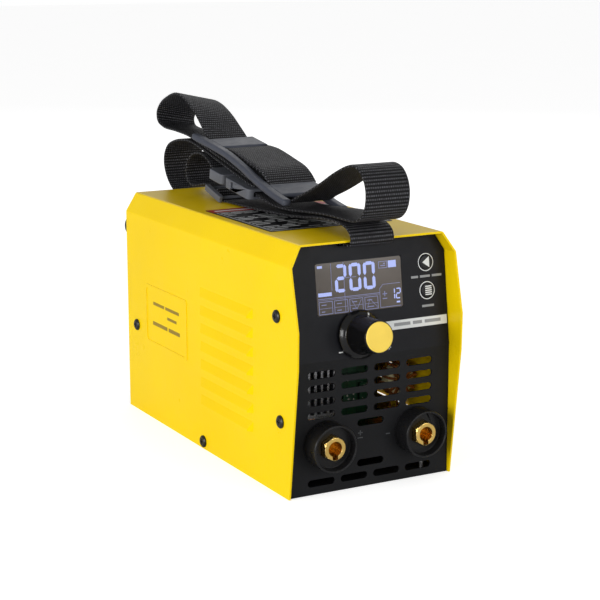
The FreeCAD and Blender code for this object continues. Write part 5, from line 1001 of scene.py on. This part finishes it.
LABEL_HEADER_MM = 12
LABEL_ROWS = 15
LABEL_ROW_MM = 4.9
LABEL_MARGIN_MM = 4


def print_label():
    """The top label: a red header with one bar, and rows of bars in two frames."""
    low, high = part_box("top_label")
    left, right = low.x / MM, high.x / MM
    front, rear = low.y / MM, high.y / MM
    sheet = Sheet((0, 0, high.z), (1, 0, 0), (0, 1, 0), (0, 0, 1))
    sheet.rectangle(left + 0.4, rear - LABEL_HEADER_MM, right - 0.4, rear - 0.4)
    sheet.print("label_header", "label_red", "welder", "label_film", INK_GAP_MM)
    on_header = INK_GAP_MM + INK_MM
    for row in range(LABEL_ROWS):
        y = rear - 17 - LABEL_ROW_MM * row
        x = left + LABEL_MARGIN_MM
        column = 0
        while x < right - 6:
            length = 5 + (row * 7 + column * 11) % 13
            if (row + column) % 4 != 3:
                sheet.rectangle(x, y, min(x + length, right - LABEL_MARGIN_MM), y + 1.1)
            x += length + 2.2
            column += 1
    sheet.rectangle(left + LABEL_MARGIN_MM, rear - 8.2, left + 42, rear - 5.4)
    sheet.print("label_lines", "print_white", "welder", "label_film", on_header)
    for y in (-20.5, -45.0):
        sheet.rectangle(left + 3, rear + y + 2.2, right - 3, rear + y + 2.5)
    sheet.frame(left + 2, front + 2, right - 2, rear - 13.5, 0.35)
    sheet.print("label_frame", "print_white", "welder", "label_film", on_header)


print_panel()
print_side()
print_sockets()
display = panel_sheet(*SCREEN_AT_MM)
print_readings(display)
print_screen_lines(display)
print_on_key("mode_button", MODE_KEY_UP_MM, "mode_key", "mode_icon", triangle_icon)
print_on_key("menu_button", MENU_KEY_UP_MM, "menu_key", "menu_icon", list_icon)
# The white stroke on the knob's shoulder is a painted reflection, not print.
paint_knob_glint()
print_label()


# ---------------------------------------------------------------- floor, light and camera

FLOOR_LIFT = 0.62
FLOOR_HALF = 8.0
SKY_LIGHT = 0.4
CAMERA_AT = (-0.4965, -0.9314, 0.3219)
CAMERA_RIGHT = (0.876, -0.482, 0.0)
CAMERA_BACK = (-0.471, -0.856, 0.2115)
CAMERA_LENS = 97.77


def floor_finish():
    """Matt white, lifted a little for the camera so that it runs into the white background."""
    s = Shader("floor_pale")
    seen = s.add("ShaderNodeLightPath").outputs["Is Camera Ray"]
    s.feed(s.surface, {
        "Base Color": s.mix(s.noise(3), (0.84, 0.84, 0.84), (0.86, 0.86, 0.86)),
        "Roughness": s.ramp(s.noise(9), 0.75, 0.85),
        "Specular IOR Level": 0.1,
        "Emission Color": (1, 1, 1, 1),
        "Emission Strength": s.math("MULTIPLY", seen, FLOOR_LIFT),
    })
    return s.material


def floor():
    """A plain pale floor."""
    data = bmesh.new()
    bmesh.ops.create_grid(data, x_segments=1, y_segments=1, size=FLOOR_HALF)
    mesh = bpy.data.meshes.new("floor")
    data.to_mesh(mesh)
    data.free()
    piece = bpy.data.objects.new("floor", mesh)
    piece.location.z = CAD_BOX[0][2] - 0.0002
    bpy.context.scene.collection.objects.link(piece)
    piece.data.materials.append(floor_finish())


def area_light(name, place, target, size, power):
    """A soft rectangular light aimed at a point."""
    lamp = bpy.data.lights.new(name, "AREA")
    lamp.shape = "RECTANGLE"
    lamp.size, lamp.size_y = size
    lamp.energy = power
    piece = bpy.data.objects.new(name, lamp)
    piece.location = place
    piece.rotation_euler = (Vector(target) - Vector(place)).to_track_quat("-Z", "Y").to_euler()
    bpy.context.scene.collection.objects.link(piece)


def world():
    """Even studio surroundings, white to the camera and dimmer as a source of light."""
    surroundings = bpy.data.worlds.new("studio")
    surroundings.use_nodes = True
    tree = surroundings.node_tree
    path = tree.nodes.new("ShaderNodeLightPath")
    level = tree.nodes.new("ShaderNodeMapRange")
    level.inputs["To Min"].default_value = SKY_LIGHT
    level.inputs["To Max"].default_value = 1.0
    tree.links.new(path.outputs["Is Camera Ray"], level.inputs["Value"])
    tree.links.new(level.outputs["Result"], tree.nodes["Background"].inputs["Strength"])
    tree.nodes["Background"].inputs["Color"].default_value = (1, 1, 1, 1)
    bpy.context.scene.world = surroundings


def camera():
    """The camera, at the left of the front and a little above the welder."""
    right = Vector(CAMERA_RIGHT).normalized()
    back = Vector(CAMERA_BACK).normalized()
    up = back.cross(right)
    lens = bpy.data.cameras.new("camera")
    lens.lens = CAMERA_LENS
    lens.sensor_width = 36
    piece = bpy.data.objects.new("camera", lens)
    turn = Matrix((right, up, back)).transposed().to_4x4()
    piece.matrix_world = Matrix.Translation(CAMERA_AT) @ turn
    bpy.context.scene.collection.objects.link(piece)
    bpy.context.scene.camera = piece


floor()
world()
area_light("key_left", (-1.6, -0.55, 0.38), (0, 0, 0.08), (1.4, 0.6), 21)
area_light("front_fill", (0.5, -1.9, 0.6), (0, 0, 0.1), (1.4, 0.8), 12)
area_light("rear_rim", (0.9, 1.4, 1.1), (0, 0, 0.12), (1.4, 0.8), 5)
camera()
bpy.context.scene.view_settings.view_transform = "Standard"
